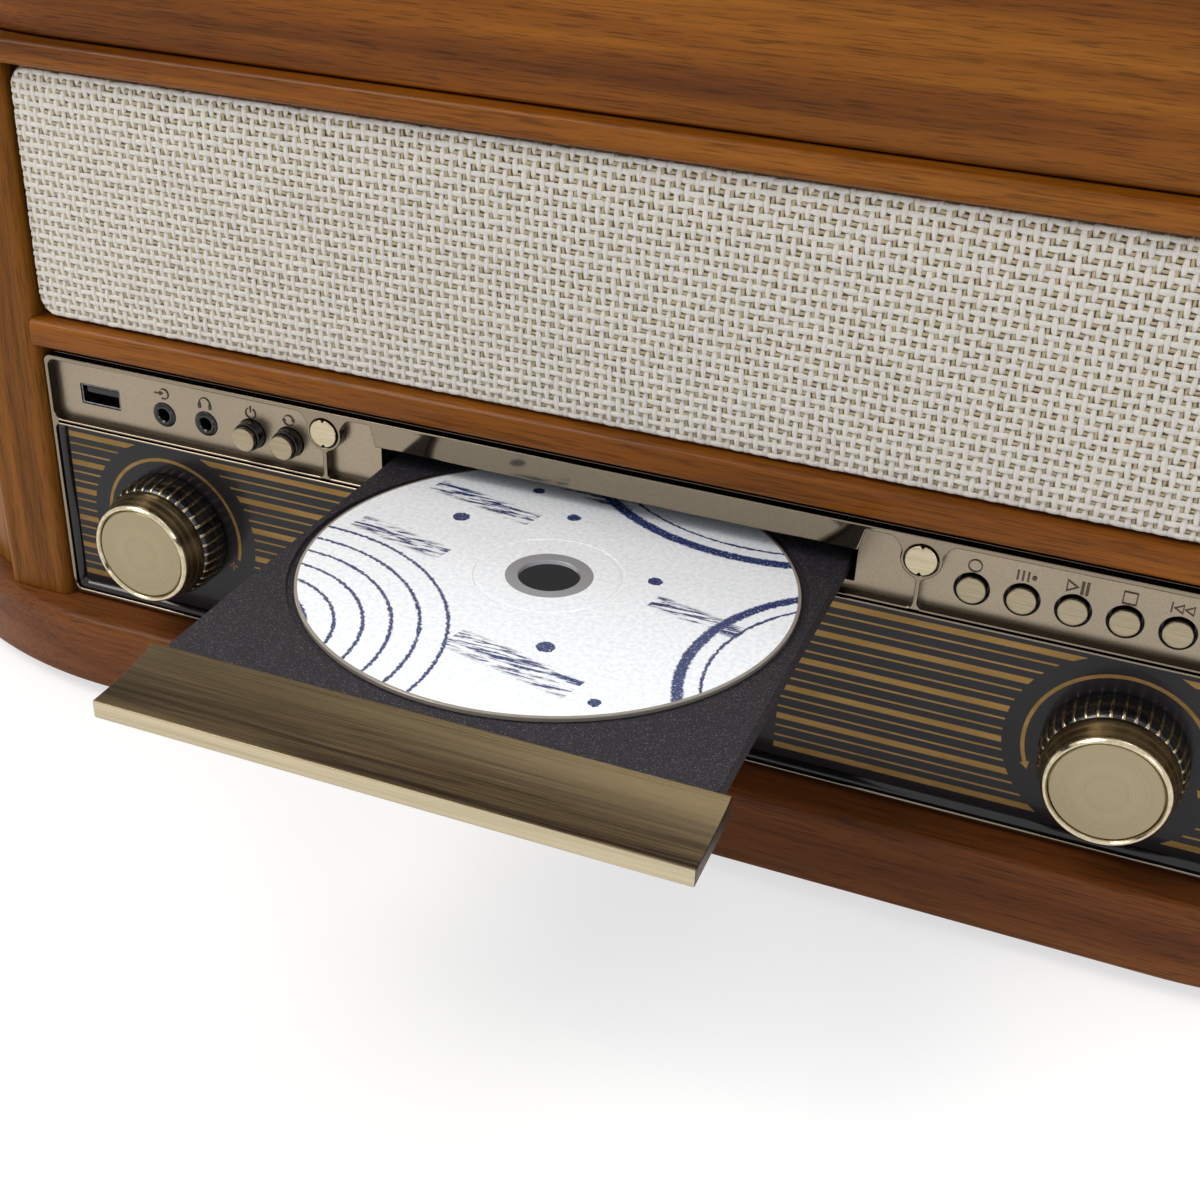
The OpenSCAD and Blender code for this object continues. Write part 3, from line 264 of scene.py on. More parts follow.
def turned_metal(name, centre, dark, light, roughness, pitch=0.35, plane=UPRIGHT):
    """Metal faced on a lathe: fine rings round a centre, in a plane."""
    made = surface(name, light, roughness, 1.0)
    tree = made[1]
    steps = ("ADD", [-c * MM for c in centre]), ("MULTIPLY", plane), ("LENGTH",)
    radius = chain(tree, VECTOR_MATH, add_node(tree, COORDS, out="Object"), *steps)
    rings, broad = (
        add_node(tree, NOISE, {"W": radius, "Scale": scale / pitch, "Detail": detail}, noise_dimensions="1D")
        for scale, detail in ((1000, 3.0), (90, 1.0))
    )
    both = weighted(tree, rings, broad, 0.5)
    gloss = rings, (0.3, roughness * 0.8), (0.7, roughness * 1.25)
    return dress(made, (both, (0.36, dark), (0.64, light)), gloss, rings, 0.01)


def antique_brass(name):
    """Brushed antique brass: fine scratches along X, and dark brown streaks that grow towards the
    front edge, a painted dark reflection that leaves the rear lighter."""
    made = surface(name, "#7d6c48", 0.3, 0.85, anisotropic=0.3)
    tree = made[1]
    fine = mottle(tree, (28, 4000, 4000), 3, 0.6)
    streaks = mottle(tree, (14, 520, 520), 4, 0.65, (3, 0, 0))
    # painted reflection: dark streaks that fade in towards the front edge, standing for the dark reflection
    # there
    painted_reflection_streaks = add_node(tree, RAMP, [streaks], stops=((0.40, 0.0), (0.60, 1.0)))
    depth = add_node(tree, "ShaderNodeSeparateXYZ", [add_node(tree, COORDS, out="Object")], "Y")
    inputs = {"Value": depth, "From Min": -0.1225, "From Max": -0.1003, "To Min": 1.0, "To Max": 0.0}
    front = add_node(tree, "ShaderNodeMapRange", inputs)
    front = add_node(tree, RAMP, [front], stops=((0.15, 0.05), (0.95, 1.0)))
    base = add_node(tree, RAMP, [fine], stops=((0.3, "#51452f"), (0.7, "#695c42")))
    amount = chain(tree, MATH, painted_reflection_streaks, ("MULTIPLY", front))
    color = add_node(tree, MIX, [amount, base, "#2c2118"], **COVER)
    return dress(made, [color], (fine, (0.3, 0.22), (0.7, 0.4)), fine, 0.01)


def flake_paint(name):
    """Charcoal drawer paint with metal flake: fine bright specks, rough to the touch."""
    made = surface(name, "#232126", 0.7, specular_ior_level=0.2)
    tree = made[1]
    grain = mottle(tree, 3600, 2, 0.6)
    cells = add_node(tree, MAPPING, {"Vector": add_node(tree, COORDS, out="Object"), "Scale": (4600,) * 3})
    flake = add_node(tree, "ShaderNodeTexVoronoi", {"Vector": cells, "Scale": 1.0}, "Color", feature="F1")
    pick = add_node(tree, "ShaderNodeSeparateColor", [flake])
    base = add_node(tree, RAMP, [grain], stops=((0.35, "#1b191d"), (0.65, "#28262b")))
    speck = add_node(tree, RAMP, [pick], stops=((0.86, 0.0), (0.99, 1.0)))
    color = add_node(tree, MIX, [speck, base, "#54525a"], **COVER)
    return dress(made, [color], (pick, (0.8, 0.62), (0.95, 0.35)), grain, 0.09)


def spun_cotton(name, dark, light):
    """Loosely spun cotton yarn: fibres run along the yarn with pale and shaded strands."""
    made = surface(name, light, 0.92, sheen_weight=0.35, sheen_roughness=0.6)
    tree = made[1]
    along = add_node(tree, "ShaderNodeAttribute", out="Vector", attribute_name="yarn")
    fibre = mottle(tree, (2.2, 16.0, 1.0), 3, 0.6, where=along)
    patch = add_node(tree, RAMP, [mottle(tree, 120, 2)], stops=((0.3, 0.92), (0.7, 1.0)))
    tone = add_node(tree, RAMP, [fibre], stops=((0.30, dark), (0.60, light)))
    return dress(made, [add_node(tree, MIX, [0.8, tone, patch], **DARKEN)], (), fibre, 0.22)


def printed_disc(name):
    """Screen-printed disc under clear lacquer: cool white with an open pattern of navy brush
    arcs, ripples and dots, a clear hub ring and a bare rim."""
    made = surface(name, "#f3f8fd", 0.22, coat_weight=0.6, coat_roughness=0.06)
    tree = made[1]

    middle = (0, -DISC_Y * MM, -DISC_HIGH.z * MM)
    steps = ("ADD", middle), ("MULTIPLY", (1000, 1000, 0))
    flat = chain(tree, VECTOR_MATH, add_node(tree, COORDS, out="Object"), *steps)
    wander = chain(tree, MATH, mottle(tree, 0.9, 3, 0.6, where=flat), ("SUBTRACT", 0.5), ("MULTIPLY", 1.6))

    def band(value, centre, half, soft=0.35):
        """1 within half of centre, fading over soft millimetres."""
        steps = ("ADD", wander), ("SUBTRACT", centre), ("ABSOLUTE",), ("DIVIDE", half + soft)
        stops = (half / (half + soft) * 0.92, 1.0), (1.0, 0.0)
        return add_node(tree, RAMP, [chain(tree, MATH, value, *steps)], stops=stops)

    def along(angle):
        turn = math.radians(angle)
        return chain(tree, VECTOR_MATH, flat, ("DOT_PRODUCT", (math.cos(turn), math.sin(turn), 0)))

    def away_from(x, y):
        return chain(tree, VECTOR_MATH, flat, ("ADD", (-x, -y, 0)), ("LENGTH",))

    def only(mask, value, low, high):
        """Keeps mask where value lies between low and high."""
        below = chain(tree, MATH, value, ("LESS_THAN", high))
        inside = chain(tree, MATH, value, ("GREATER_THAN", low), ("MULTIPLY", below))
        return chain(tree, MATH, mask, ("MULTIPLY", inside))

    across, up = along(-14), along(76)
    # ripples at the lower left, and two broad arcs that leave the disc at the right
    ripples, upper, side = (-58, -52), (38, 84), (88, -20)
    ink = band(away_from(*ripples), 12, 0.9)
    marks = [band(away_from(*ripples), 19 + 6.4 * i, 0.35, 0.2) for i in range(6)]
    marks.append(only(band(away_from(*upper), 56, 1.5), across, -40, 60))
    marks.append(band(away_from(*upper), 50.5, 0.3, 0.2))
    marks.append(band(away_from(*side), 46, 1.2))
    marks.append(band(away_from(*side), 41, 0.3, 0.2))
    # dry brush strokes: broken streaks inside a wide band
    streaks = mottle(tree, (0.09, 0.75, 1), 4, 0.7, where=flat, turn=14)
    bristles = add_node(tree, RAMP, [streaks], stops=((0.47, 0.0), (0.54, 1.0)))
    for centre, half, start, end in (
        (42, 3.0, -38, -4), (-8, 2.4, -54, -26), (-36, 3.6, 0, 34), (20, 2.6, -52, -20), (6, 2.2, 26, 50),
    ):
        stroke = only(band(up, centre, half, 1.2), across, start, end)
        marks.append(chain(tree, MATH, stroke, ("MULTIPLY", bristles)))
    for x, y, size in (
        (-32, 18, 2.2), (-20, 40, 1.6), (24, 8, 1.8), (12, -30, 2.2), (30, -46, 1.5), (-6, 30, 1.7),
    ):
        marks.append(chain(tree, MATH, away_from(x, y), ("ADD", wander), ("LESS_THAN", size)))
    worn = add_node(tree, RAMP, [mottle(tree, 1.7, 3, 0.7, where=flat)], stops=((0.30, 0.25), (0.42, 1.0)))
    ink = chain(tree, MATH, ink, *(("MAXIMUM", mark) for mark in marks), ("MULTIPLY", worn))
    paper = mottle(tree, 0.8, 5, 0.7, where=flat)
    color = add_node(tree, RAMP, [paper], stops=((0.35, "#dde7f2"), (0.6, "#f7fafd")))
    radius = chain(tree, VECTOR_MATH, flat, ("LENGTH",))
    hub = chain(tree, MATH, radius, ("LESS_THAN", 10.6))
    rim = chain(tree, MATH, radius, ("GREATER_THAN", 59.2))
    for mask, tone in ((ink, "#27376b"), (hub, "#8e9094"), (rim, "#8d867c")):
        color = add_node(tree, MIX, [mask, color, tone], **COVER)
    return dress(made, [color])


def make_materials():
    """Every finish of the object, by the name of its slot in the record or of its use here."""
    rows = {
        stained_wood: (
            ("wood_z", "stained_oak_upright", "z", "#5a330d", "#7e4c16", "#986122"),
            ("wood_x", "stained_oak_lengthwise", "x", "#61330a", "#874d11", "#a0621a", 0.36, 0.12),
            ("wood_y", "stained_oak_sides", "y", "#552e0c", "#794717", "#925c20"),
            ("plinth_wood", "stained_oak_plinth", "x", "#592e13", "#6d3d1a", "#7c4a22", 0.44, 0.08),
            ("plinth_side", "stained_oak_plinth_sides", "y", "#4b230e", "#683515", "#7b441b", 0.44),
            ("back_board", "stained_fibreboard", "x", "#2a1b12", "#38251a", "#452f20", 0.7, 0.0),
        ),
        plated_bronze: (
            ("bronze_metal", "polished_bronze_plating", 0.09, 0),
            ("bronze_shade", "plating_inside_the_frame", 0.12, 0, "#2c2721", "#3a342c"),
            ("satin_bronze", "satin_bronze_plating", 0.30, 0.02, "#8b7f6e", "#9a8e7b"),
            ("relief_shadow", "plating_in_symbol_edges", 0.22, 0, "#3f3830", "#554c41"),
        ),
        moulded_plastic: (
            ("baffle_board", "painted_baffle_board", "#1c1815", "#2a2520", 0.8, 0.8, 0.05),
            ("black_plastic", "moulded_black_abs", "#141314", "#1f1e20", 0.42, 0.45, 0.03),
            ("knob_black", "black_knob_moulding", "#0c0b0c", "#151416", 0.16, 1.2, 0),
            ("circuit_board", "solder_masked_board", "#1d4a2a", "#275c36", 0.3, 2.0, 0.02),
            ("cone_paper", "pressed_paper_cone", "#0e0e0f", "#1d1d1f", 0.85, 0.7, 0.1),
            ("rubber", "moulded_rubber", "#0f0f10", "#1b1b1c", 0.75, 0.6, 0.04),
            ("mat_rubber", "ribbed_rubber_mat", "#101011", "#1c1c1d", 0.66, 0.5, 0.05),
            ("deck_plastic", "grained_black_deck", "#171617", "#262527", 0.48, 0.7, 0.06),
            ("white_plastic", "natural_acetal", "#c9c2b0", "#dcd6c6", 0.4, 0.8, 0.02),
        ),
        brushed_metal: (
            ("gold_ink", "gold_screen_ink", "#7b6136", "#97794b", 0.5, "x", 0.5, 3, 0.0),
            ("cap_metal", "satin_champagne_trim", "#a99d83", "#c2b598", 0.28, "x", 0.12, 14),
            ("socket_steel", "nickel_plated_socket", "#48484a", "#757678", 0.25, "y", 0.4, 8),
            ("steel", "zinc_plated_steel", "#8d9093", "#c2c5c8", 0.32, "x", 0.5, 20),
            ("grey_steel", "pressed_sheet_steel", "#4b4e52", "#6b6f74", 0.42, "y", 0.6, 30),
            ("hinge_brass", "antique_brass_hinge", "#8a7243", "#a78a52", 0.34, "z", 0.25, 12),
            ("arm_aluminium", "satin_aluminium_tube", "#a6a8ab", "#d0d2d4", 0.22, "y", 0.2, 40),
            ("dark_brass", "browned_brass_ends", "#2a1f14", "#4a3a26", 0.35, "z", 0.3, 6),
            # painted highlight: bright bronze for the black ribs of the knobs, standing for the light on
            # their edges
            ("rib_edge", "bronze_tinted_rib_crest", "#6f6553", "#b3a78d", 0.22, "y", 0.2, 6),
            ("knob_brass", "knob_skirt_champagne", "#5a4e38", "#a3946f", 0.22, "y", 0.12, 20),
            ("button_metal", "brushed_champagne_button", "#8d826c", "#a1957d", 0.3, "x", 0.1, 6),
            ("bright_rim", "polished_champagne_rim", "#b2a68b", "#d0c5a9", 0.14, "y", 0.3, 20, 0.0),
        ),
        turned_metal: (
            ("platter_aluminium", "turned_aluminium_platter", SPINDLE, "#5b5c60", "#85868a", 0.3, 0.5, LEVEL),
            ("pulley_brass", "turned_brass", PULLEY, "#8a6c34", "#b99a58", 0.25, 0.3, LEVEL),
        ),
        flake_paint: (("tray_plastic", "flake_painted_drawer"),),
        antique_brass: (("antique_brass", "antique_brass_drawer_front"),),
        printed_disc: (("disc_print", "screen_printed_disc"),),
        spun_cotton: (
            ("yarn_white", "off_white_cotton_yarn", "#cfc7b8", "#fbf8f1"),
            ("yarn_tan", "khaki_linen_strand", "#a58e63", "#d4c297"),
            ("grille_cloth", "cloth_backing", "#9c8a62", "#c8b38a"),
        ),
    }
    for maker, finishes in rows.items():
        for slot, *look in finishes:
            MATERIALS[slot] = maker(*look)
    MATERIALS["wood"] = MATERIALS["wood_z"]
    glossy = {"specular_ior_level": 0.2, "coat_weight": 0.15, "coat_roughness": 0.03}
    for slot, name, color, pale, roughness, grain_mm, more in (
        ("dial_glass", "smoked_acrylic", "#181619", "#1b191d", 0.25, 4.0, glossy),
        ("display", "display_filter", "#16191b", "#1b2022", 0.12, 3.0, {"coat_weight": 0.5}),
        ("gloss_black", "gloss_black_abs", "#0b0a0b", "#100f11", 0.12, 3.0,
         {"specular_ior_level": 0.35, "coat_weight": 0.15}),
    ):
        MATERIALS[slot] = moulded_plastic(name, color, pale, roughness, grain_mm, 0, **more)


# ---- Mesh helpers ----


def to_object(name, mesh, material=None):
    made = bpy.data.objects.new(name, mesh)
    bpy.context.scene.collection.objects.link(made)
    if material:
        mesh.materials.clear()
        mesh.materials.append(material)
    return made


def clean(mesh, angle=32.0):
    """Welds, turns faces outwards and smooths all but the sharp corners."""
    work = bmesh.new()
    work.from_mesh(mesh)
    bmesh.ops.remove_doubles(work, verts=work.verts, dist=WELD)
    bmesh.ops.recalc_face_normals(work, faces=work.faces)
    for face in work.faces:
        face.smooth = True
    work.to_mesh(mesh)
    work.free()
    mesh.set_sharp_from_angle(angle=math.radians(angle))


def solid(name, points, faces, material, angle=32.0):
    """Object from points in millimetres."""
    mesh = bpy.data.meshes.new(name)
    mesh.from_pydata([Vector(p) * MM for p in points], [], faces)
    clean(mesh, angle)
    return to_object(name, mesh, material)


def bake(made):
    """The evaluated object as a plain mesh, with its modifiers and curves gone."""
    name, materials = made.name, [s.material for s in made.material_slots]
    graph = bpy.context.evaluated_depsgraph_get()
    mesh = bpy.data.meshes.new_from_object(made.evaluated_get(graph))
    if not mesh.polygons:
        raise RuntimeError(name + " came out empty")
    bpy.data.objects.remove(made, do_unlink=True)
    if not mesh.materials:
        for material in materials:
            mesh.materials.append(material)
    fresh = to_object("fresh", mesh)
    fresh.name = name
    return fresh


def even_shading(made):
    """Lets the broad flat faces keep the shading, so that narrow roundings catch the light."""
    modifier = made.modifiers.new("Weighted", "WEIGHTED_NORMAL")
    modifier.keep_sharp = True
    modifier.weight = 60
    return bake(made)


def fit(made, body, slot, *nodes):
    """Puts a piece on its body and names the CAD nodes that it stands for; its finish, slot, is not used."""
    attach(made, body)
    if nodes:
        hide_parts(*nodes)
    return made


def plate(name, loops, y0, y1, edge, material, flat=False):
    """Plate from closed outlines, the inner ones holes, with rounded edges. It stands in X and Z
    from y0 back to y1, or lies in X and Y from y0 up to y1 where flat is set."""
    curve = bpy.data.curves.new(name, "CURVE")
    curve.dimensions, curve.fill_mode = "2D", "BOTH"
    for loop in loops:
        line = curve.splines.new("POLY")
        line.points.add(len(loop) - 1)
        for point, (u, v) in zip(line.points, loop):
            point.co = (u * MM, v * MM, 0, 1)
        line.use_cyclic_u = True
    curve.extrude = ((y1 - y0) / 2 - edge) * MM
    curve.bevel_resolution = 2 if edge > 0.25 else 1
    curve.bevel_depth, curve.offset = edge * MM, -edge * MM
    made = bake(to_object(name, curve))
    middle = (y0 + y1) / 2 * MM
    if flat:
        turn = Matrix.Translation((0, 0, middle))
    else:
        turn = Matrix.Translation((0, middle, 0)) @ Matrix.Rotation(math.pi / 2, 4, "X")
    made.data.transform(turn)
    clean(made.data, 40)
    made.data.materials.clear()
    made.data.materials.append(material)
    return even_shading(made) if edge else made


def plates_joined(name, shapes, y0, y1, edge, material):
    """Several plates, each from its outlines, as one object."""
    work = bmesh.new()
    for i, loops in enumerate(shapes):
        part = plate(f"{name}_{i}", loops, y0, y1, edge, material)
        work.from_mesh(part.data)
        bpy.data.objects.remove(part, do_unlink=True)
    mesh = bpy.data.meshes.new(name)
    work.to_mesh(mesh)
    work.free()
    return to_object(name, mesh, material)


def prisms(name, loops, y0, y1, material):
    """Thin upright prints and symbols, one for each outline in X and Z."""
    points, faces = [], []
    for loop in loops:
        n, base = len(loop), len(points)
        points += [(x, y, z) for y in (y0, y1) for x, z in loop]
        faces += [list(range(base, base + n)), list(range(base + 2 * n - 1, base + n - 1, -1))]
        for i in range(n):
            after = (i + 1) % n
            faces.append((base + i, base + after, base + n + after, base + n + i))
    return solid(name, points, faces, material, 20)


def loft(name, rings, material, caps=(True, True), closed=False, angle=32.0):
    """Skin over rings of points that match one to one."""
    n = len(rings[0])
    points = [p for ring in rings for p in ring]
    faces = []
    for a in range(len(rings) if closed else len(rings) - 1):
        b = (a + 1) % len(rings)
        faces += [(a * n + i, a * n + (i + 1) % n, b * n + (i + 1) % n, b * n + i) for i in range(n)]
    if caps[0]:
        faces.append(list(range(n - 1, -1, -1)))
    if caps[1]:
        faces.append(list(range((len(rings) - 1) * n, len(rings) * n)))
    return solid(name, points, faces, material, angle)


def turned(name, profile, centre, material, axis="y", segments=72, angle=32.0, closed=False):
    """Turned piece: profile is (radius, distance along the axis) from one end to the other."""
    rings = []
    for radius, along in profile:
        ring = []
        for i in range(segments):
            a = 2 * math.pi * i / segments
            c, s = max(radius, 1e-4) * math.cos(a), max(radius, 1e-4) * math.sin(a)
            offset = (c, along, s) if axis == "y" else (c, s, along)
            ring.append(tuple(Vector(centre) + Vector(offset)))
        rings.append(ring)
    return loft(name, rings, material, (not closed, not closed), closed, angle)


def rounded(corners, steps=6):
    """Closed outline with a fillet at each corner, given as (u, v, radius)."""
    line, n = [], len(corners)
    for i, (u, v, radius) in enumerate(corners):
        here = Vector((u, v))
        before = (Vector(corners[i - 1][:2]) - here).normalized()
        after = (Vector(corners[(i + 1) % n][:2]) - here).normalized()
        half = before.angle(after) / 2
        if radius <= 0 or half > 1.55:
            line.append((u, v))
            continue
        centre = here + (before + after).normalized() * (radius / math.sin(half))
        start = here + before * (radius / math.tan(half)) - centre
        end = here + after * (radius / math.tan(half)) - centre
        a0 = math.atan2(start.y, start.x)
        turn = (math.atan2(end.y, end.x) - a0 + math.pi) % (2 * math.pi) - math.pi
        for k in range(steps + 1):
            a = a0 + turn * k / steps
            line.append((centre.x + radius * math.cos(a), centre.y + radius * math.sin(a)))
    return line


def window(x0, x1, z0, z1, radius, steps=6):
    """Rectangle with rounded corners."""
    return rounded([(x0, z0, radius), (x1, z0, radius), (x1, z1, radius), (x0, z1, radius)], steps)


def box_at(x, z, half_x, half_z, radius=0.0, steps=3):
    """Rectangle about its middle."""
    return window(x - half_x, x + half_x, z - half_z, z + half_z, radius, steps)


def circle(u, v, radius, count=48, start=0.0, turn=360.0):
    line = []
    for i in range(count if turn >= 360 else count + 1):
        a = math.radians(start + turn * i / count)
        line.append((u + radius * math.cos(a), v + radius * math.sin(a)))
    return line


def arc_band(u, v, inner, outer, start, turn, count=48):
    return circle(u, v, outer, count, start, turn) + circle(u, v, inner, count, start, turn)[::-1]


def plan_ring(inset, back, z, count=26):
    """The cabinet's plan at one height: straight front, wide sweep, tight corner, side, back."""
    half_w, sweep, turn, side, corner = PLINTH_HIGH.x, 130, math.radians(25), 30, 1.2
    cx, cy = half_w - side - (sweep - side) * math.sin(turn), sweep + PLINTH_LOW.y
    sx, sy = half_w - side, cy - (sweep - side) * math.cos(turn)
    right = []
    for i in range(count + 1):
        a = turn * i / count
        right.append((cx + (sweep - inset) * math.sin(a), cy - (sweep - inset) * math.cos(a)))
    for i in range(1, count + 1):
        a = turn + (math.pi / 2 - turn) * i / count
        right.append((sx + (side - inset) * math.sin(a), sy - (side - inset) * math.cos(a)))
    edge = half_w - inset
    right += [(edge, back - corner), (edge - corner * 0.3, back - corner * 0.3), (edge - corner, back)]
    return [(x, y, z) for x, y in right] + [(-x, y, z) for x, y in reversed(right)]


def board_rings(inset, back, z0, z1, r0, r1, steps=5):
    """Rings up a board's edge: rounded by r0 at the bottom and r1 at the top."""
    rings = []
    for i in range(steps + 1):
        a = math.pi / 2 * i / steps
        d = r0 * (1 - math.sin(a))
        rings.append(plan_ring(inset + d, back - d, z0 + r0 * (1 - math.cos(a))))
    for i in range(steps + 1):
        a = math.pi / 2 * i / steps
        d = r1 * (1 - math.cos(a))
        rings.append(plan_ring(inset + d, back - d, z1 - r1 * (1 - math.sin(a))))
    return rings


def grain_along_sides(made, material):
    """Gives the faces towards the sides a veneer whose grain runs front to back."""
    made.data.materials.append(material)
    for face in made.data.polygons:
        if abs(face.normal.x) > 0.72:
            face.material_index = len(made.data.materials) - 1


def dressed_copy(node, finish, edge=0.25, limit=35.0, name=None):
    """A copy of a CAD node with its flat faces joined and its corners slightly rounded."""
    mesh = frame["nodes"][node].data.copy()
    work = bmesh.new()
    work.from_mesh(mesh)
    bmesh.ops.remove_doubles(work, verts=work.verts, dist=WELD)
    bmesh.ops.dissolve_limit(work, angle_limit=math.radians(0.6), verts=work.verts, edges=work.edges)
    for face in work.faces:
        face.smooth = True
    work.to_mesh(mesh)
    work.free()
    made = to_object(name or node + "_dressed", mesh, MATERIALS[finish])
    bevel = made.modifiers.new("Edges", "BEVEL")
    bevel.width, bevel.segments, bevel.limit_method = edge * MM, 2, "ANGLE"
    bevel.angle_limit = math.radians(limit)
    bevel.use_clamp_overlap = True
    made = bake(made)
    made.data.set_sharp_from_angle(angle=math.radians(32))
    return even_shading(made)


# ---- Geometry Nodes ----

SOCKETS = {int: "Int", float: "Float", tuple: "Vector"}


def new_tree(name, **inputs):
    """A Geometry Nodes tree and its inputs, each given by its default or its kind of data."""
    tree = bpy.data.node_groups.new(name, "GeometryNodeTree")
    for way in ("INPUT", "OUTPUT"):
        tree.interface.new_socket("Geometry", in_out=way, socket_type="NodeSocketGeometry")
    for key, default in inputs.items():
        kind = "NodeSocket" + SOCKETS.get(type(default), str(default))
        socket = tree.interface.new_socket(key, in_out="INPUT", socket_type=kind)
        if not isinstance(default, str):
            socket.default_value = default
    return tree, tree.nodes.new("NodeGroupInput").outputs


def set_copies(tree, s, points, part, **where):
    """Puts a part on points, makes the copies real and paints them, as the tree's result."""
    part = add_node(tree, "GeometryNodeObjectInfo", [part], "Geometry")
    shift = where.pop("Translation", None)
    copies = add_node(tree, "GeometryNodeInstanceOnPoints", {"Points": points, "Instance": part, **where})
    if shift is not None:
        copies = add_node(tree, "GeometryNodeTransform", {"Geometry": copies, "Translation": shift})
    real = add_node(tree, "GeometryNodeRealizeInstances", [copies])
    painted = add_node(tree, "GeometryNodeSetMaterial", {"Geometry": real, "Material": s["Material"]})
    tree.links.new(painted, tree.nodes.new("NodeGroupOutput").inputs[0])


def run_tree(name, tree, part, **values):
    """Runs a tree on an empty mesh, keeps the result as a plain mesh and drops the part."""
    made = to_object(name, bpy.data.meshes.new(name))
    modifier = made.modifiers.new("Nodes", "NODES")
    modifier.node_group = tree
    values["Part"] = part
    for item in tree.interface.items_tree:
        if item.in_out == "INPUT" and item.name in values:
            modifier[item.identifier] = values[item.name]
    made = bake(made)
    bpy.data.objects.remove(part, do_unlink=True)
    return made


def screw_tree():
    """Sets four columns and two rows of screws on the back."""
    tree, s = new_tree("Screws on the back", Part="Object", Spacing=130 * MM, Rise=148 * MM,
                       Centre=(0, 0, 0), Material="Material")
    width = chain(tree, MATH, s["Spacing"], ("MULTIPLY", 3.0))
    inputs = {"Size X": width, "Size Y": s["Rise"], "Vertices X": 4, "Vertices Y": 2}
    grid = add_node(tree, "GeometryNodeMeshGrid", inputs)
    inputs = {"Geometry": grid, "Translation": s["Centre"], "Rotation": (math.pi / 2, 0, 0)}
    upright = add_node(tree, "GeometryNodeTransform", inputs)
    set_copies(tree, s, upright, s["Part"], Rotation=(0, 0, math.pi))
    return tree


def ring_tree():
    """Sets copies of a part evenly round a circle about the Y axis, each turned with it."""
    tree, s = new_tree("Parts round a circle", Part="Object", Count=36, Centre=(0, 0, 0), Material="Material")
    line = add_node(tree, "GeometryNodeMeshLine", {"Count": s["Count"], "Offset": (0, 0, 0)}, mode="OFFSET")
    step = chain(tree, MATH, 2 * math.pi, ("DIVIDE", s["Count"]))
    angle = chain(tree, MATH, add_node(tree, "GeometryNodeInputIndex"), ("MULTIPLY", step))
    turn = add_node(tree, "ShaderNodeCombineXYZ", {"Y": angle})
    set_copies(tree, s, line, s["Part"], Rotation=turn, Translation=s["Centre"])
    return tree


def weave_tree():
    """Sets yarn floats in a plain weave: on each row every second crossing carries a float, and the
    next row starts one crossing further on. Each float is nudged and turned a little."""
    tree, s = new_tree(
        "Plain weave floats", Part="Object", Columns=128, Rows=24, Pitch=(0, 0, 0), Corner=(0, 0, 0),
        Offset=0, Lean=1, Wander=0.0001, Bulge=0.0008, Seed=4, Material="Material")
    total = chain(tree, MATH, s["Columns"], ("MULTIPLY", s["Rows"]))
    line = add_node(tree, "GeometryNodeMeshLine", {"Count": total, "Offset": (0, 0, 0)}, mode="OFFSET")
    index = add_node(tree, "GeometryNodeInputIndex")
    column = chain(tree, MATH, index, ("FLOORED_MODULO", s["Columns"]))
    row = chain(tree, MATH, index, ("ADD", 0.5), ("DIVIDE", s["Columns"]), ("FLOOR",))
    leant = chain(tree, MATH, row, ("MULTIPLY", s["Lean"]))
    steps = ("ADD", leant), ("ADD", s["Offset"]), ("FLOORED_MODULO", 2.0), ("LESS_THAN", 0.5)
    keep = chain(tree, MATH, column, *steps)
    pitch = add_node(tree, "ShaderNodeSeparateXYZ", [s["Pitch"]]).node.outputs
    # the cloth swells in the middle and falls to nothing at its edges
    spots, falls = [], []
    for place, count, step, power in (
        (column, s["Columns"], pitch["X"], 8.0), (row, s["Rows"], pitch["Z"], 4.0),
    ):
        size = chain(tree, MATH, count, ("MULTIPLY", step))
        spots.append(chain(tree, MATH, place, ("MULTIPLY", step)))
        steps = ("MULTIPLY", 2.0), ("DIVIDE", size), ("SUBTRACT", 1.0), ("POWER", power)
        falls.append(chain(tree, MATH, 1.0, ("SUBTRACT", chain(tree, MATH, spots[-1], *steps))))
    y = chain(tree, MATH, falls[0], ("MULTIPLY", falls[1]), ("MULTIPLY", s["Bulge"]), ("MULTIPLY", -1.0))
    spot = add_node(tree, "ShaderNodeCombineXYZ", [spots[0], y, spots[1]])
    inputs = {"Min": (-1, -1, -1), "Max": (1, 1, 1), "Seed": s["Seed"]}
    jitter = add_node(tree, "FunctionNodeRandomValue", inputs, data_type="FLOAT_VECTOR")
    nudge = chain(tree, VECTOR_MATH, jitter, ("SCALE", s["Wander"]))
    spot = chain(tree, VECTOR_MATH, spot, ("ADD", s["Corner"]), ("ADD", nudge))
    points = add_node(tree, "GeometryNodeSetPosition", {"Geometry": line, "Position": spot})
    lean = chain(tree, VECTOR_MATH, jitter, ("MULTIPLY", (0.05, 0.09, 0.05)))
    swell = chain(tree, VECTOR_MATH, jitter, ("MULTIPLY", (0.07, 0.12, 0.09)), ("ADD", (1, 1, 1)))
    set_copies(tree, s, points, s["Part"], Selection=keep, Rotation=lean, Scale=swell)
    return tree


# ---- Settings ----


def length(name, description, default, low, high):
    """A length of the settings, given in millimetres."""
    return bpy.props.FloatProperty(name=name, description=description, default=default * MM,
                                   min=low * MM, max=high * MM, unit="LENGTH", precision=4)


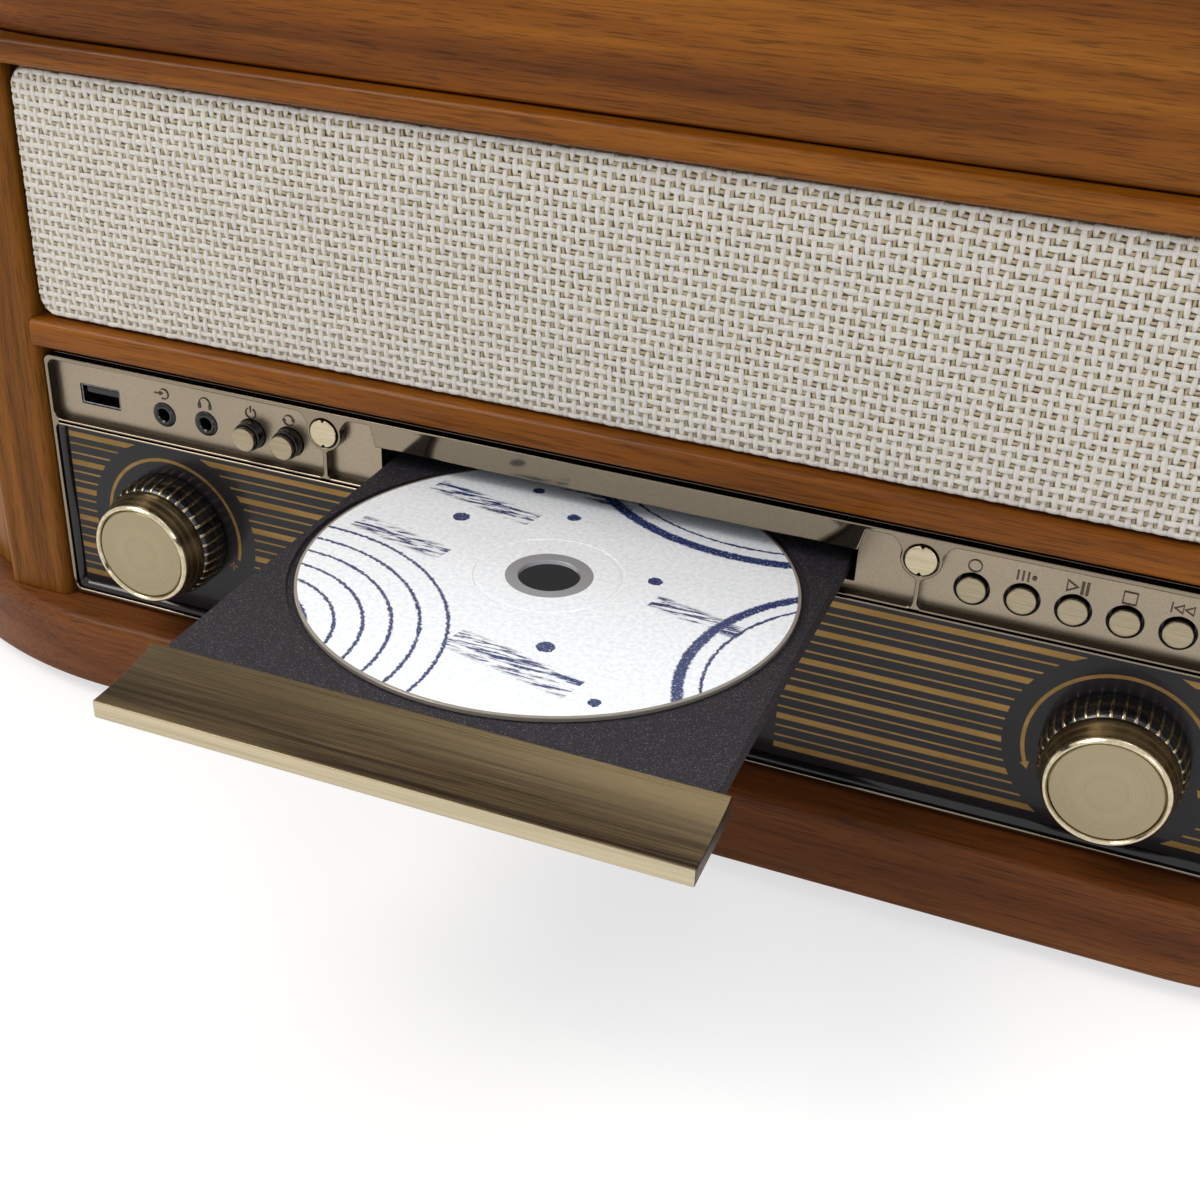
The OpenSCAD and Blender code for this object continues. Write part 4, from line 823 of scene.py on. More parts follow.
class MusicCentreSettings(bpy.types.PropertyGroup):
    """Sizes that a user may change before building the looks."""

    edge_round: length("Wood edge radius", "Rounding on the edges of the wooden boards", 1.6, 0.2, 3)
    yarn_pitch: length("Yarn pitch", "Distance between neighbouring yarns of the cloth", 2.37, 1.5, 5)
    cloth_bulge: length("Cloth bulge", "How far the padded cloth swells in the middle", 1.6, 0, 3)
    knob_ribs: bpy.props.IntProperty(
        name="Knob ribs", description="Ribs round each knob", default=36, min=12, max=60)
    wide_stripe: length("Wide stripe", "Height of the wide gold stripes on the dial", 1.75, 0.5, 3)
    thin_stripe: length("Thin stripe", "Height of the thin gold stripes on the dial", 0.55, 0.2, 2)
    floor_color: bpy.props.FloatVectorProperty(
        name="Floor colour", description="Colour of the studio floor and backdrop",
        subtype="COLOR", size=3, default=(0.94, 0.94, 0.94), min=0, max=1)


def setting_mm(key):
    """A length of the settings in millimetres."""
    return getattr(bpy.context.scene.music_centre, key) / MM


# ---- Stage ----


def seen_directly(tree):
    """1 where the camera, a reflection or glass sees it, and 0 where it lights the object."""
    rays = add_node(tree, "ShaderNodeLightPath").node.outputs
    through = chain(tree, MATH, rays["Is Glossy Ray"], ("MAXIMUM", rays["Is Transmission Ray"]))
    return chain(tree, MATH, rays["Is Camera Ray"], ("MAXIMUM", through))


class OBJECT_OT_studio(bpy.types.Operator):
    """Camera at the photograph's angle, pale floor and soft lamps"""

    bl_idname = "music_centre.studio"
    bl_label = "Studio"

    def execute(self, context):
        scene = context.scene
        scene.view_settings.view_transform = "Standard"
        camera = bpy.data.objects.new("camera", bpy.data.cameras.new("camera"))
        scene.collection.objects.link(camera)
        # columns: right, up, back and place, fitted to the disc's rim and the panel's edges
        camera.matrix_world = Matrix((
            (0.928925, -0.217165, 0.299895, 0.13014),
            (0.36824, 0.457198, -0.809549, -0.35128),
            (0.038694, 0.862444, 0.504671, 0.288164),
            (0, 0, 0, 1),
        ))
        camera.data.sensor_width, camera.data.lens = 36, 49.365
        camera.data.clip_start, camera.data.clip_end = 0.01, 20
        scene.camera = camera

        # Seen directly or in metal, the floor is half its own pale light, so it is
        # white in the open and keeps the shadow below the object
        material, tree, shader = surface("studio_floor", "#f4f4f4", 0.8)
        shader.inputs["Base Color"].default_value = (*scene.music_centre.floor_color, 1)
        glow = add_node(tree, "ShaderNodeEmission", [(1, 1, 1, 1), 1.28])
        share = chain(tree, MATH, seen_directly(tree), ("MULTIPLY", 0.5))
        pale = add_node(tree, "ShaderNodeMixShader", [share, shader.outputs[0], glow])
        tree.links.new(pale, tree.nodes["Material Output"].inputs["Surface"])
        corners = [(x * 3000, y * 3000, 0) for x, y in ((-1, -1), (1, -1), (1, 1), (-1, 1))]
        floor = solid("studio_floor_sheet", corners, [(0, 1, 2, 3)], material)

        scene.world = bpy.data.worlds.new("studio")
        scene.world.use_nodes = True
        tree = scene.world.node_tree
        tree.nodes.clear()
        soft = add_node(tree, "ShaderNodeBackground", ["#f2f4f7", 0.55])
        white = add_node(tree, "ShaderNodeBackground", [(1, 1, 1, 1), 1.0])
        mixed = add_node(tree, "ShaderNodeMixShader", [seen_directly(tree), soft, white])
        add_node(tree, "ShaderNodeOutputWorld", [mixed])

        for name, spot, size, power, tint in (
            ("key", (-0.9, -0.7, 1.5), (0.9, 0.9), 18, "#fff8ee"),
            ("top", (0.2, 0.5, 1.7), (1.6, 0.8), 14, "#ffffff"),
            ("fill", (1.5, -1.2, 0.8), (1.0, 1.0), 6, "#f3f6ff"),
        ):
            lamp = bpy.data.lights.new(name, "AREA")
            lamp.shape, lamp.energy, lamp.color = "RECTANGLE", power, srgb(tint)[:3]
            lamp.size, lamp.size_y = size
            made = bpy.data.objects.new(name, lamp)
            scene.collection.objects.link(made)
            made.location = spot
            aim = Vector((0, 0, 0.1)) - Vector(spot)
            made.rotation_euler = aim.to_track_quat("-Z", "Y").to_euler()
        return {"FINISHED"}


# ---- Cabinet ----


class OBJECT_OT_cabinet(bpy.types.Operator):
    """Plinth, side walls, posts and rails of stained wood, with softly rounded edges"""

    bl_idname = "music_centre.cabinet"
    bl_label = "Cabinet"

    def execute(self, context):
        m = MATERIALS
        low, high = PLINTH_LOW, PLINTH_HIGH
        rings = board_rings(0, high.y, low.z, high.z, 1.2, 2 * setting_mm("edge_round"))
        plinth = loft("plinth_moulded", rings, m["plinth_wood"])
        grain_along_sides(plinth, m["plinth_side"])
        fit(plinth, "cabinet", "plinth_wood", "plinth")
        sides = dressed_copy("side_walls", "wood_z", 0.9, 60, "side_walls_veneered")
        fit(sides, "cabinet", "wood", "side_walls")

        low, high = reach("front_posts")
        for side, tag in SIDES:
            x0, x1 = sorted((side * high.x, side * (high.x - 21.5)))
            outline = rounded([(x0, low.y, 2.7), (x1, low.y, 2.7), (x1, high.y, 0.3), (x0, high.y, 0.3)])
            post = plate("post_" + tag, [outline], low.z, high.z, 0.35, m["wood_z"], flat=True)
            fit(post, "cabinet", "wood", *(["front_posts"] if side < 0 else []))

        # rounding of the front edges, seen as a bright line along each rail
        for node, lower, upper in (("rail_mid", 1.6, 2.4), ("rail_top", 2.2, 1.2)):
            low, high = reach(node)
            profile = rounded([(low.y, low.z, lower), (low.y, high.z, upper),
                               (high.y, high.z, 0.3), (high.y, low.z, 0.3)], 8)
            rings = [[(x, y, z) for y, z in profile] for x in (low.x, high.x)]
            rail = loft(node + "_moulded", rings, m["wood_x"], angle=50)
            fit(rail, "cabinet", "wood", node)

        back = dressed_copy("back_panel", "back_board", 0.4)
        fit(back, "cabinet", "back_board", "back_panel")
        dome = [(0, -1.1), (2.2, -1.05), (3.0, -0.5), (3.1, 0)]
        screw = turned("screw_head", dome, (0, 0, 0), m["steel"], segments=20)
        for face in screw.data.polygons:
            face.use_smooth = True
        centre = (0, reach("back_panel")[1].y * MM, 112 * MM)
        heads = run_tree("back_screws", screw_tree(), screw, Spacing=130 * MM, Rise=148 * MM,
                         Centre=centre, Material=m["steel"])
        clean(heads.data)
        fit(heads, "cabinet", "steel")
        return {"FINISHED"}


# ---- Control panel ----


def field_outline(x0, x1, z0, z1, collars):
    """Outline of a sunk field whose ends next to a round cap follow the cap's collar. collars
    names the ends, left or right, that have one."""
    r, stem = 5.2, 0.6

    def collar_end(cx, side):
        """Corner, collar and stem beside a cap; side is 1 where the field lies to its right."""
        line = [(cx + side * 7.2, z1, 2.6)]
        for angle in (20, 6, -8, -22, -36, -50, -62, -73):
            a = math.radians(angle)
            line.append((cx + side * r * math.cos(a), TRIM_Z + r * math.sin(a), 2.2 if angle == 20 else 0))
        return line + [(cx + side * stem, TRIM_Z - r - 0.5, 0.9), (cx + side * stem, z0, 1.3)]

    left = collar_end(x0, 1) if "left" in collars else [(x0, z1, 2.4), (x0, z0, 2.4)]
    right = collar_end(x1, -1)[::-1] if "right" in collars else [(x1, z0, 2.4), (x1, z1, 2.4)]
    return left + right


def frame_relief():
    """The raised frame: rim, divider with its groove, collars of the caps and the hood."""
    z0, z1, edge = DIVIDER + 0.9, PANEL_TOP - RIM, PANEL_HALF - RIM
    slot_top = PANEL_TOP - 7.3
    hood = [(67.4, z1, 0.4), (65.9, slot_top, 0.35), (-65.9, slot_top, 0.35), (-67.4, z1, 0.4)]
    loops = [
        window(-PANEL_HALF, PANEL_HALF, PANEL_BOTTOM, PANEL_TOP, 2.5),
        rounded(field_outline(-edge, -TRIM_X, z0, z1, ["right"])),
        rounded(field_outline(-TRIM_X, TRIM_X, z0, z1, ["left", "right"]) + hood),
        rounded(field_outline(TRIM_X, edge, z0, z1, ["left"])),
        window(-edge, edge, PANEL_BOTTOM + RIM, DIVIDER - 0.9, 1.6),
        window(-edge + 1.2, edge - 1.2, DIVIDER - 0.35, DIVIDER + 0.25, 0.25, 3),
    ]
    loops += [circle(side * TRIM_X, TRIM_Z, 4.25, 40) for side, _ in SIDES]
    made = plate("panel_frame", loops, 0, 3, 0.42, MATERIALS["bronze_metal"])
    # painted shade: the inner walls of the frame take a darker copy of the plating, so that they show as the
    # dark gap in front of them
    made.data.materials.append(MATERIALS["bronze_shade"])
    for wall in made.data.polygons:
        if abs(wall.normal.y) < 0.5 and abs(wall.center.x) < (PANEL_HALF - 0.5) * MM:
            wall.material_index = 1
    return made


class OBJECT_OT_panel(bpy.types.Operator):
    """Plated panel: raised frame, sunk control strip, hood over the drawer, round caps"""

    bl_idname = "music_centre.panel"
    bl_label = "Control panel"

    def execute(self, context):
        m = MATERIALS
        fit(frame_relief(), "cabinet", "bronze_metal", "bezel_panel")

        # Sunk face with its holes; the slot steps down for the drawer's runners
        low, deep = TRAY_TOP - 5.0, TRAY_TOP - 6.7
        edge = PANEL_HALF - 0.4
        half = [(65.5, SLOT_TOP, 0), (65.5, low, 0.3), (61.6, low, 0), (61.6, deep, 0.3)]
        strip = [window(-edge, edge, DIVIDER - 0.6, PANEL_TOP - 0.4, 1.5),
                 rounded([(-x, z, r) for x, z, r in half] + half[::-1], 3)]
        strip += [circle(x, CONTROL_Z, 4.33, 48) for x in BUTTONS.values()]
        strip += [circle(x, CONTROL_Z, 3.62, 40) for x in (LINE_JACK_X, HEADPHONE_JACK_X)]
        strip.append(box_at(USB_X, USB_Z, 6.65, 3.1, 0.5))
        # Black walls that run back from the slot
        right = [(66.6, SLOT_TOP + 0.9), (66.6, low - 1), (65.7, low - 1), (65.7, SLOT_TOP)]
        liner = [(-x, z) for x, z in right[:1]] + right + [(-x, z) for x, z in right[:0:-1]]
        fit(prisms("slot_liner", [liner], 5.5, 12, m["black_plastic"]), "cabinet", "bronze_metal")

        bed = [window(-PANEL_HALF + 2, PANEL_HALF - 2, DIVIDER - 0.6, DIVIDER + 0.6, 0.3, 3)]
        sides = [window(-PANEL_HALF + d, PANEL_HALF - d, PANEL_BOTTOM + d, PANEL_TOP - d, r)
                 for d, r in ((0, 2.5), (1.4, 1.2))]
        tongue = [window(USB_X - 5.4, USB_X + 5.4, USB_Z + 0.1, USB_Z + 1.9, 0.2, 3)]
        # painted shade: a black sheet at the back of the USB opening stands for the dark inside it
        shade = [box_at(USB_X, USB_Z, 6.0, 2.45, 0.2)]
        for name, loops, y0, y1, edge, finish, slot in (
            ("panel_strip", strip, 3, 5.5, 0.22, "satin_bronze", "bronze_metal"),
            ("divider_groove_bed", bed, 1.9, 2.9, 0.1, "gloss_black", "bronze_metal"),
            ("panel_sides", sides, 3.0, 13.8, 0.15, "bronze_metal", "bronze_metal"),
            ("usb_tongue", tongue, 4.3, 12, 0.15, "gloss_black", "black_plastic"),
            ("usb_back", shade, 11, 12, 0.1, "black_plastic", "black_plastic"),
        ):
            fit(plate(name, loops, y0, y1, edge, m[finish]), "cabinet", slot)

        # Glossy wall round the dial, from its lip to the sheet
        inner, bottom, top = PANEL_HALF - RIM, PANEL_BOTTOM + RIM, DIVIDER - 0.9
        wall = []
        for d, y in ((0.0, 0.9), (0.25, 0.85), (0.9, 1.0), (1.7, 1.9), (2.1, 2.45), (2.1, 2.6), (0.0, 2.6)):
            line = window(-inner + d, inner - d, bottom + d, top - d * 0.45, 1.4)
            wall.append([(x, y, z) for x, z in line])
        ring = loft("dial_surround", wall, m["gloss_black"], (False, False), True, 50)
        fit(ring, "cabinet", "bronze_metal")

        for side, tag in SIDES:
            outline = []
            for start in (-81.5, 98.5):
                # a round cap with a notch at each end of a diameter
                outline += circle(side * TRIM_X, TRIM_Z, 3.95, 40, start - 0.01, 163)
                a = math.radians(start + 171.5)
                outline.append((side * TRIM_X + 3.15 * math.cos(a), TRIM_Z + 3.15 * math.sin(a)))
            cap = plate("trim_cap_" + tag, [outline], -0.45, 2.9, 0.3, m["cap_metal"])
            fit(cap, "cabinet", "cap_metal", *(["trim_caps"] if side < 0 else []))
        fit(dressed_copy("usb_socket", "socket_steel", 0.12), "cabinet", "socket_steel", "usb_socket")
        jack = [(1.8, 11.9), (1.8, 2.8), (2.1, 2.45), (2.75, 2.4), (2.95, 2.65), (3.25, 2.7), (3.5, 2.9),
                (3.57, 3.3), (3.57, 11.9)]
        for name, x, nodes in (("jack_1", LINE_JACK_X, ["jack_sockets"]), ("jack_2", HEADPHONE_JACK_X, [])):
            made = turned(name, jack, (x, 0, CONTROL_Z), m["gloss_black"], closed=True, segments=48)
            fit(made, "cabinet", "black_plastic", *nodes)
        return {"FINISHED"}


def triangle(x, height, wide, inward=0.0):
    """Triangle pointing right on the symbols' line; inward shrinks it evenly."""
    half = height / 2
    back, tip = x - wide / 2 + inward, x + wide / 2 - inward * math.hypot(wide, half) / half
    rise = half * (tip - back) / wide
    return [(back, SYMBOL_Z - rise), (tip, SYMBOL_Z), (back, SYMBOL_Z + rise)]


def stroke(x, height=3.4, wide=0.75):
    return box_at(x, SYMBOL_Z, wide / 2, height / 2, 0.1, 2)


class OBJECT_OT_symbols(bpy.types.Operator):
    """Raised outline symbols over the buttons and sockets"""

    bl_idname = "music_centre.symbols"
    bl_label = "Symbols"

    def execute(self, context):
        z, line = SYMBOL_Z, 0.32
        x = BUTTONS["record_button"]
        marks = [[circle(x, z, 1.75, 32), circle(x, z, 1.75 - line, 32)]]
        x = BUTTONS["mode_button"]
        marks += [[stroke(x + at, 2.6, 0.5)] for at in (-1.9, -0.65, 0.6)] + [[circle(x + 2.0, z, 0.6, 20)]]
        x = BUTTONS["play_button"]
        marks.append([triangle(x - 1.1, 3.4, 2.9), triangle(x - 1.1, 3.4, 2.9, line)])
        marks += [[stroke(x + 1.15)], [stroke(x + 2.3)]]
        x = BUTTONS["stop_button"]
        marks.append([box_at(x, z, 1.7, 1.7, 0.1, 2), box_at(x, z, 1.7 - line, 1.7 - line, 0.05, 2)])
        for name, side in (("previous_button", -1), ("next_button", 1)):
            x = BUTTONS[name]
            for at in (-1.3, 1.1):
                marks.append([[(x + side * (u - x), v) for u, v in triangle(x + at, 2.6, 2.3, inward)]
                              for inward in (0.0, line * 0.8)])
            marks.append([stroke(x + side * 2.65, 2.6, 0.4)])
        # power: an open ring and a stroke
        x = BUTTONS["power_button"]
        marks += [[arc_band(x, z - 0.2, 1.35, 1.7, 120, 300, 30)], [box_at(x, z + 0.95, 0.18, 0.95, 0.05, 2)]]
        # function: two arrows that turn
        x = BUTTONS["function_button"]
        for turn in (15, 195):
            marks.append([arc_band(x, z, 1.3, 1.65, turn, 125, 20)])
            a = math.radians(turn)
            out, ahead = Vector((math.cos(a), math.sin(a))), Vector((math.sin(a), -math.cos(a)))
            tip = Vector((x, z)) + 1.47 * out
            marks.append([[tuple(tip + ahead * 0.9), tuple(tip + out * 0.65), tuple(tip - out * 0.65)]])
        # headset, and an arrow into a ring
        x = HEADPHONE_JACK_X
        marks.append([arc_band(x, z - 0.3, 1.55, 1.85, 0, 180, 24)])
        marks += [[box_at(x + side * 1.7, z - 1.1, 0.42, 0.8, 0.2, 2)] for side, _ in SIDES]
        x = LINE_JACK_X
        marks += [[arc_band(x + 0.4, z, 1.3, 1.65, -120, 240, 26)], [stroke(x - 1.6, 0.36, 2.2)],
                  [[(x - 0.9, z - 0.7), (x + 0.3, z), (x - 0.9, z + 0.7)]]]
        # painted shadow: the raised symbols take a dark plating that stands for the shadow round their edges
        made = plates_joined("panel_symbols", marks, 2.72, 3.1, 0.08, MATERIALS["relief_shadow"])
        fit(made, "cabinet", "bronze_metal")
        return {"FINISHED"}


class OBJECT_OT_dial(bpy.types.Operator):
    """Smoked dial with its gold stripes and arcs"""

    bl_idname = "music_centre.dial"
    bl_label = "Dial"

    def execute(self, context):
        m = MATERIALS
        edge = PANEL_HALF - RIM - 0.2
        loops = [window(-edge, edge, PANEL_BOTTOM + RIM + 0.2, DIVIDER - 1.0, 1.4)]
        loops += [circle(side * KNOB_X, KNOB_Z, 9, 48) for side, _ in SIDES]
        fit(plate("dial_sheet", loops, 2.5, 4.5, 0.1, m["dial_glass"]), "cabinet", "dial_glass", "dial_glass")

        # Stripes from the middle field to the panel's edge, cut out round each knob
        clear, outer, inner = 27.2, PANEL_HALF - RIM - 2.3, 50.0
        first, step, shortest = PANEL_TOP - 24.9, 3.045, 0.6
        wide, thin = setting_mm("wide_stripe"), setting_mm("thin_stripe")
        stripes = []
        for i in range(16):
            z, half = first - step * i, (thin if i % 3 else wide) / 2
            z0, z1 = z - half, z + half
            for side, _ in SIDES:
                cut = [math.sqrt(max(0.0, clear ** 2 - (v - KNOB_Z) ** 2)) for v in (z0, z1)]
                if max(cut) < 0.5:
                    loops = [[(inner, z0), (outer, z0), (outer, z1), (inner, z1)]]
                else:
                    a, b, c, d = KNOB_X - cut[0], KNOB_X - cut[1], KNOB_X + cut[0], KNOB_X + cut[1]
                    loops = [[(inner, z0), (a, z0), (b, z1), (inner, z1)],
                             [(c, z0), (outer, z0), (outer, z1), (d, z1)]]
                stripes += [[(side * x, v) for x, v in loop] for loop in loops
                            if abs(loop[1][0] - loop[0][0]) > shortest]

        # Arcs round the knobs, arrowheads at the right one, plus and minus at the left one
        radius = 22
        prints = [arc_band(side * KNOB_X, KNOB_Z, radius - 0.5, radius + 0.5, start, turn, 90)
                  for side, start, turn in ((-1, -14, 218), (1, -12, 214))]
        for angle, way in ((202, 1), (-12, -1)):
            a = math.radians(angle)
            out, ahead = Vector((math.cos(a), math.sin(a))), Vector((-math.sin(a), math.cos(a))) * way
            base = Vector((KNOB_X, KNOB_Z)) + out * radius
            prints.append([tuple(base + ahead * 2.2), tuple(base + out * 1.2), tuple(base - out * 1.2)])
        plus, minus, long, thin = (19.4, -7.6), (-20, -10.6), 1.3, 0.25
        for (dx, dz), *halves in ((plus, long, thin), (plus, thin, long), (minus, long, thin)):
            prints.append(box_at(-KNOB_X + dx, KNOB_Z + dz, *halves))
        for name, loops in (("dial_stripes", stripes), ("dial_arcs", prints)):
            fit(prisms(name, loops, 2.46, 2.52, m["gold_ink"]), "cabinet", "dial_glass")
        return {"FINISHED"}


class OBJECT_OT_knobs(bpy.types.Operator):
    """Two knobs: ribbed black ring, brass skirt, bright rim and turned face"""

    bl_idname = "music_centre.knobs"
    bl_label = "Knobs"

    def execute(self, context):
        m = MATERIALS
        tree = ring_tree()
        # (radius, depth) from one end to the other
        ring = [(9.5, 2.1), (17.2, 2.1), (17.6, 1.7), (17.5, -1.5), (17.1, -5.6), (16.6, -6.7),
                (15.9, -7.3), (13, -7.4), (9.5, -7.4)]
        skirt = [(3, -7.0), (16.0, -7.0), (16.55, -7.4), (16.6, -8.0), (16.1, -9.6), (15.4, -12.4),
                 (15.15, -13.6), (3, -13.6)]
        rim = [(13.5, -13.2), (15.15, -13.3), (15.25, -13.9), (15.0, -14.6), (14.5, -15.0),
               (14.0, -14.95), (13.75, -14.6), (13.5, -14.0)]
        face = [(0, -13.3), (13.4, -13.3), (13.4, -14.15), (13.1, -14.45), (12.8, -14.5), (0, -14.5)]
        shaft = [(0, 10), (3, 10), (3, -6.9), (0, -6.9)]
        # a rib's section follows the ring's outside
        crest = [(2.2, 17.5), (1.4, 17.95), (-1.5, 17.9), (-5.4, 17.5), (-6.6, 17.0),
                 (-7.35, 16.2), (-7.5, 14.4)]
        section = [(-0.42, -1.4), (-0.42, -0.12), (-0.28, 0), (0.28, 0), (0.42, -0.12), (0.42, -1.4)]
        for name, x in (("volume", -KNOB_X), ("tuning", KNOB_X)):
            body, centre = name + "_knob", (x, 0, KNOB_Z)
            skirt_metal = turned_metal(name + "_skirt_champagne", centre, "#6a5d44", "#988a6c", 0.24, 0.3)
            face_metal = turned_metal(name + "_face_champagne", centre, "#94886d", "#9d9175", 0.3, 0.4)
            for part, profile, metal, segments, closed, slot, nodes in (
                ("_ring", ring, m["knob_black"], 144, True, "knob_black", [name + "_grip"]),
                ("_skirt", skirt, skirt_metal, 128, True, "knob_brass", [name + "_cap"]),
                ("_rim", rim, m["bright_rim"], 128, True, "knob_brass", []),
                ("_face", face, face_metal, 128, False, "knob_brass", []),
                ("_shaft", shaft, m["steel"], 32, False, "knob_brass", []),
            ):
                made = turned(name + part, profile, centre, metal, segments=segments, closed=closed)
                fit(made, body, slot, *nodes)
            rings = [[(u, y, r + v) for u, v in section] for y, r in crest]
            rib = loft("rib", rings, m["knob_black"], angle=60)
            # painted highlight: the ribs take a bright bronze metal in place of their black gloss, for the
            # light on their edges
            ribs = run_tree(name + "_ribs", tree, rib, Count=context.scene.music_centre.knob_ribs,
                            Centre=tuple(Vector(centre) * MM), Material=m["rib_edge"])
            fit(ribs, body, "knob_black")
        return {"FINISHED"}


class OBJECT_OT_buttons(bpy.types.Operator):
    """Eight push buttons: champagne caps, two of them tall with black sleeves"""

    bl_idname = "music_centre.buttons"
    bl_label = "Buttons"

    def execute(self, context):
        m = MATERIALS
        for name, x in BUTTONS.items():
            tall = name in ("power_button", "function_button")
            front = -2.0 if tall else 1.75
            cap = [(0, front + 1.6), (3.5, front + 1.6), (3.54, front + 0.5), (3.42, front + 0.16),
                   (3.1, front), (2.7, front + 0.02), (0, front - 0.06)]
            sleeve = [(0, front + 0.9), (3.57, front + 0.9), (3.57, 5.7), (5.1, 5.8), (5.1, 8.3), (0, 8.3)]
            if tall:
                sleeve = [(0, front + 0.9), (3.56, front + 0.9), (3.58, 0.1), (3.75, -0.1), (4.05, 0.05),
                          (4.12, 0.4), (4.12, 8), (0, 8)]
            for part, profile, finish, nodes in (
                ("_cap", cap, "button_metal", [name]), ("_sleeve", sleeve, "gloss_black", []),
            ):
                made = turned(name + part, profile, (x, 0, CONTROL_Z), m[finish], segments=48)
                fit(made, name, "button_metal", *nodes)
        wells = [[circle(x, CONTROL_Z, radius, 40) for radius in (5.2, 4.28)] for x in BUTTONS.values()]
        made = plates_joined("button_wells", wells, 3.25, 5.6, 0.1, m["gloss_black"])
        fit(made, "cabinet", "black_plastic")
        return {"FINISHED"}


# ---- Disc drawer ----


class OBJECT_OT_drawer(bpy.types.Operator):
    """Open disc drawer: stepped tray, brass front with a hollowed top, and the printed disc"""

    bl_idname = "music_centre.drawer"
    bl_label = "Disc drawer"

    def execute(self, context):
        m = MATERIALS
        tray = dressed_copy("cd_tray", "tray_plastic", 0.3, 45, "tray_moulded")
        fit(tray, "disc_drawer", "tray_plastic", "cd_tray")

        front = dressed_copy("tray_front", "antique_brass", 0.35, 40, "drawer_front_plate")
        for finish in ("cap_metal", "dark_brass"):
            front.data.materials.append(m[finish])
        for face in front.data.polygons:
            if face.normal.y < -0.6:
                face.material_index = 1
            elif abs(face.normal.x) > 0.8:
                face.material_index = 2
        fit(front, "disc_drawer", "antique_brass", "tray_front")

        low, high = DISC_LOW.z, DISC_HIGH.z
        # bore, rim, and the groove round the clamping area
        profile = [(7.5, low + 0.1), (7.6, low), (59.85, low), (60.0, low + 0.15),
                   (60.0, high - 0.15), (59.85, high), (18.3, high), (18.1, high - 0.12),
                   (17.3, high - 0.12), (17.1, high), (7.6, high), (7.5, high - 0.1)]
        disc = turned("disc", profile, (0, DISC_Y, 0), m["disc_print"], "z", 180, 30, True)
        fit(disc, "compact_disc", "disc_print", "compact_disc")
        return {"FINISHED"}


# ---- Speaker cloth ----

CLOTH_HALF = 171.0
CLOTH_CORNER = 6.0


def mark_yarn(mesh, places):
    """Keeps each point's place along and across the yarn for the fibre pattern."""
    yarn = mesh.attributes.new("yarn", "FLOAT_VECTOR", "POINT")
    for item, place in zip(yarn.data, places):
        item.vector = place


def yarn_float(name, length, width, height, around, along, material, upright=False):
    """One float of yarn: a half-round strand that dips under at both ends."""
    points, faces, marks = [], [], []
    for i in range(along + 1):
        t = i / along
        swell = max(0.8, math.sin(math.pi * min(max(t, 0.03), 0.97)) ** 0.2)
        lift = math.sin(math.pi * t) ** 0.35 if 0 < t < 1 else 0.0
        for k in range(around + 1):
            a = math.pi * k / around
            side, place = -math.cos(a) * width / 2 * swell, (t - 0.5) * length
            rise = -math.sin(a) * height * (0.35 + 0.65 * swell) - height * 0.9 * lift + height * 0.5
            points.append((side, rise, place) if upright else (place, rise, side))
            marks.append((place, side * 1.6, 0.0))
    n = around + 1
    for i in range(along):
        faces += [(i * n + k, i * n + k + 1, (i + 1) * n + k + 1, (i + 1) * n + k) for k in range(around)]
    mesh = bpy.data.meshes.new(name)
    mesh.from_pydata([Vector(p) * MM for p in points], [], faces)
    for face in mesh.polygons:
        face.use_smooth = True
    if sum(face.normal.y for face in mesh.polygons) > 0:
        mesh.flip_normals()
    mark_yarn(mesh, marks)
    return to_object(name, mesh, material)


def turn_back(yarns, front, low, tall):
    """A yarn that passes the board's edge or a rounded corner turns back over it."""
    edge, over_corner = 0.6, CLOTH_CORNER - 0.6
    for vertex in yarns.data.vertices:
        x, h = vertex.co.x / MM, vertex.co.z / MM - low
        over = max(abs(x) - (CLOTH_HALF - edge), edge - h, h - (2 * tall - edge), 0.0)
        x = max(-CLOTH_HALF + edge, min(CLOTH_HALF - edge, x))
        h = max(edge, min(2 * tall - edge, h))
        corner_x, corner_h = abs(x) - (CLOTH_HALF - CLOTH_CORNER), abs(h - tall) - (tall - CLOTH_CORNER)
        if corner_x > 0 and corner_h > 0 and math.hypot(corner_x, corner_h) > over_corner:
            pull = over_corner / math.hypot(corner_x, corner_h)
            x = math.copysign(CLOTH_HALF - CLOTH_CORNER + corner_x * pull, x)
            h = tall + math.copysign(tall - CLOTH_CORNER + corner_h * pull, h - tall)
            over += 0.3
        back = min(vertex.co.y / MM + 0.9 * over, front + 1.0)
        vertex.co = (x * MM, back * MM, (h + low) * MM)


def cloth_backing(front, low, tall, bulge):
    """Cloth below the yarns: a grid with rounded corners that swells like the yarns on it."""
    columns, heights = 96, [0, 0.25, 0.8, 1.7, 3, 4.6, 6]
    heights += [6 + (2 * tall - 12) * k / 12 for k in range(1, 12)]
    heights += [2 * tall - h for h in heights[6::-1]]
    points, faces = [], []
    for h in heights:
        dip = max(0.0, CLOTH_CORNER - min(h, 2 * tall - h))
        wide = CLOTH_HALF - CLOTH_CORNER + math.sqrt(max(0.0, CLOTH_CORNER ** 2 - dip * dip))
        for k in range(columns + 1):
            x = wide * math.sin(math.pi * (k / columns - 0.5) * 0.98) / math.sin(math.pi * 0.49)
            swell = (1 - (x / CLOTH_HALF) ** 8) * (1 - ((h - tall) / tall) ** 4)
            rim = min(wide - abs(x), min(h, 2 * tall - h))
            points.append((x, front - 0.1 - bulge * swell + 0.6 * max(0.0, 1 - rim / 1.6) ** 2, low + h))
    for a in range(len(heights) - 1):
        for k in range(columns):
            b = a * (columns + 1) + k
            faces.append((b, b + 1, b + columns + 2, b + columns + 1))
    sheet = solid("cloth_sheet", points, faces, MATERIALS["grille_cloth"], 80)
    mark_yarn(sheet.data, [(v.co.x / MM, v.co.z / MM, 0) for v in sheet.data.vertices])
    return sheet


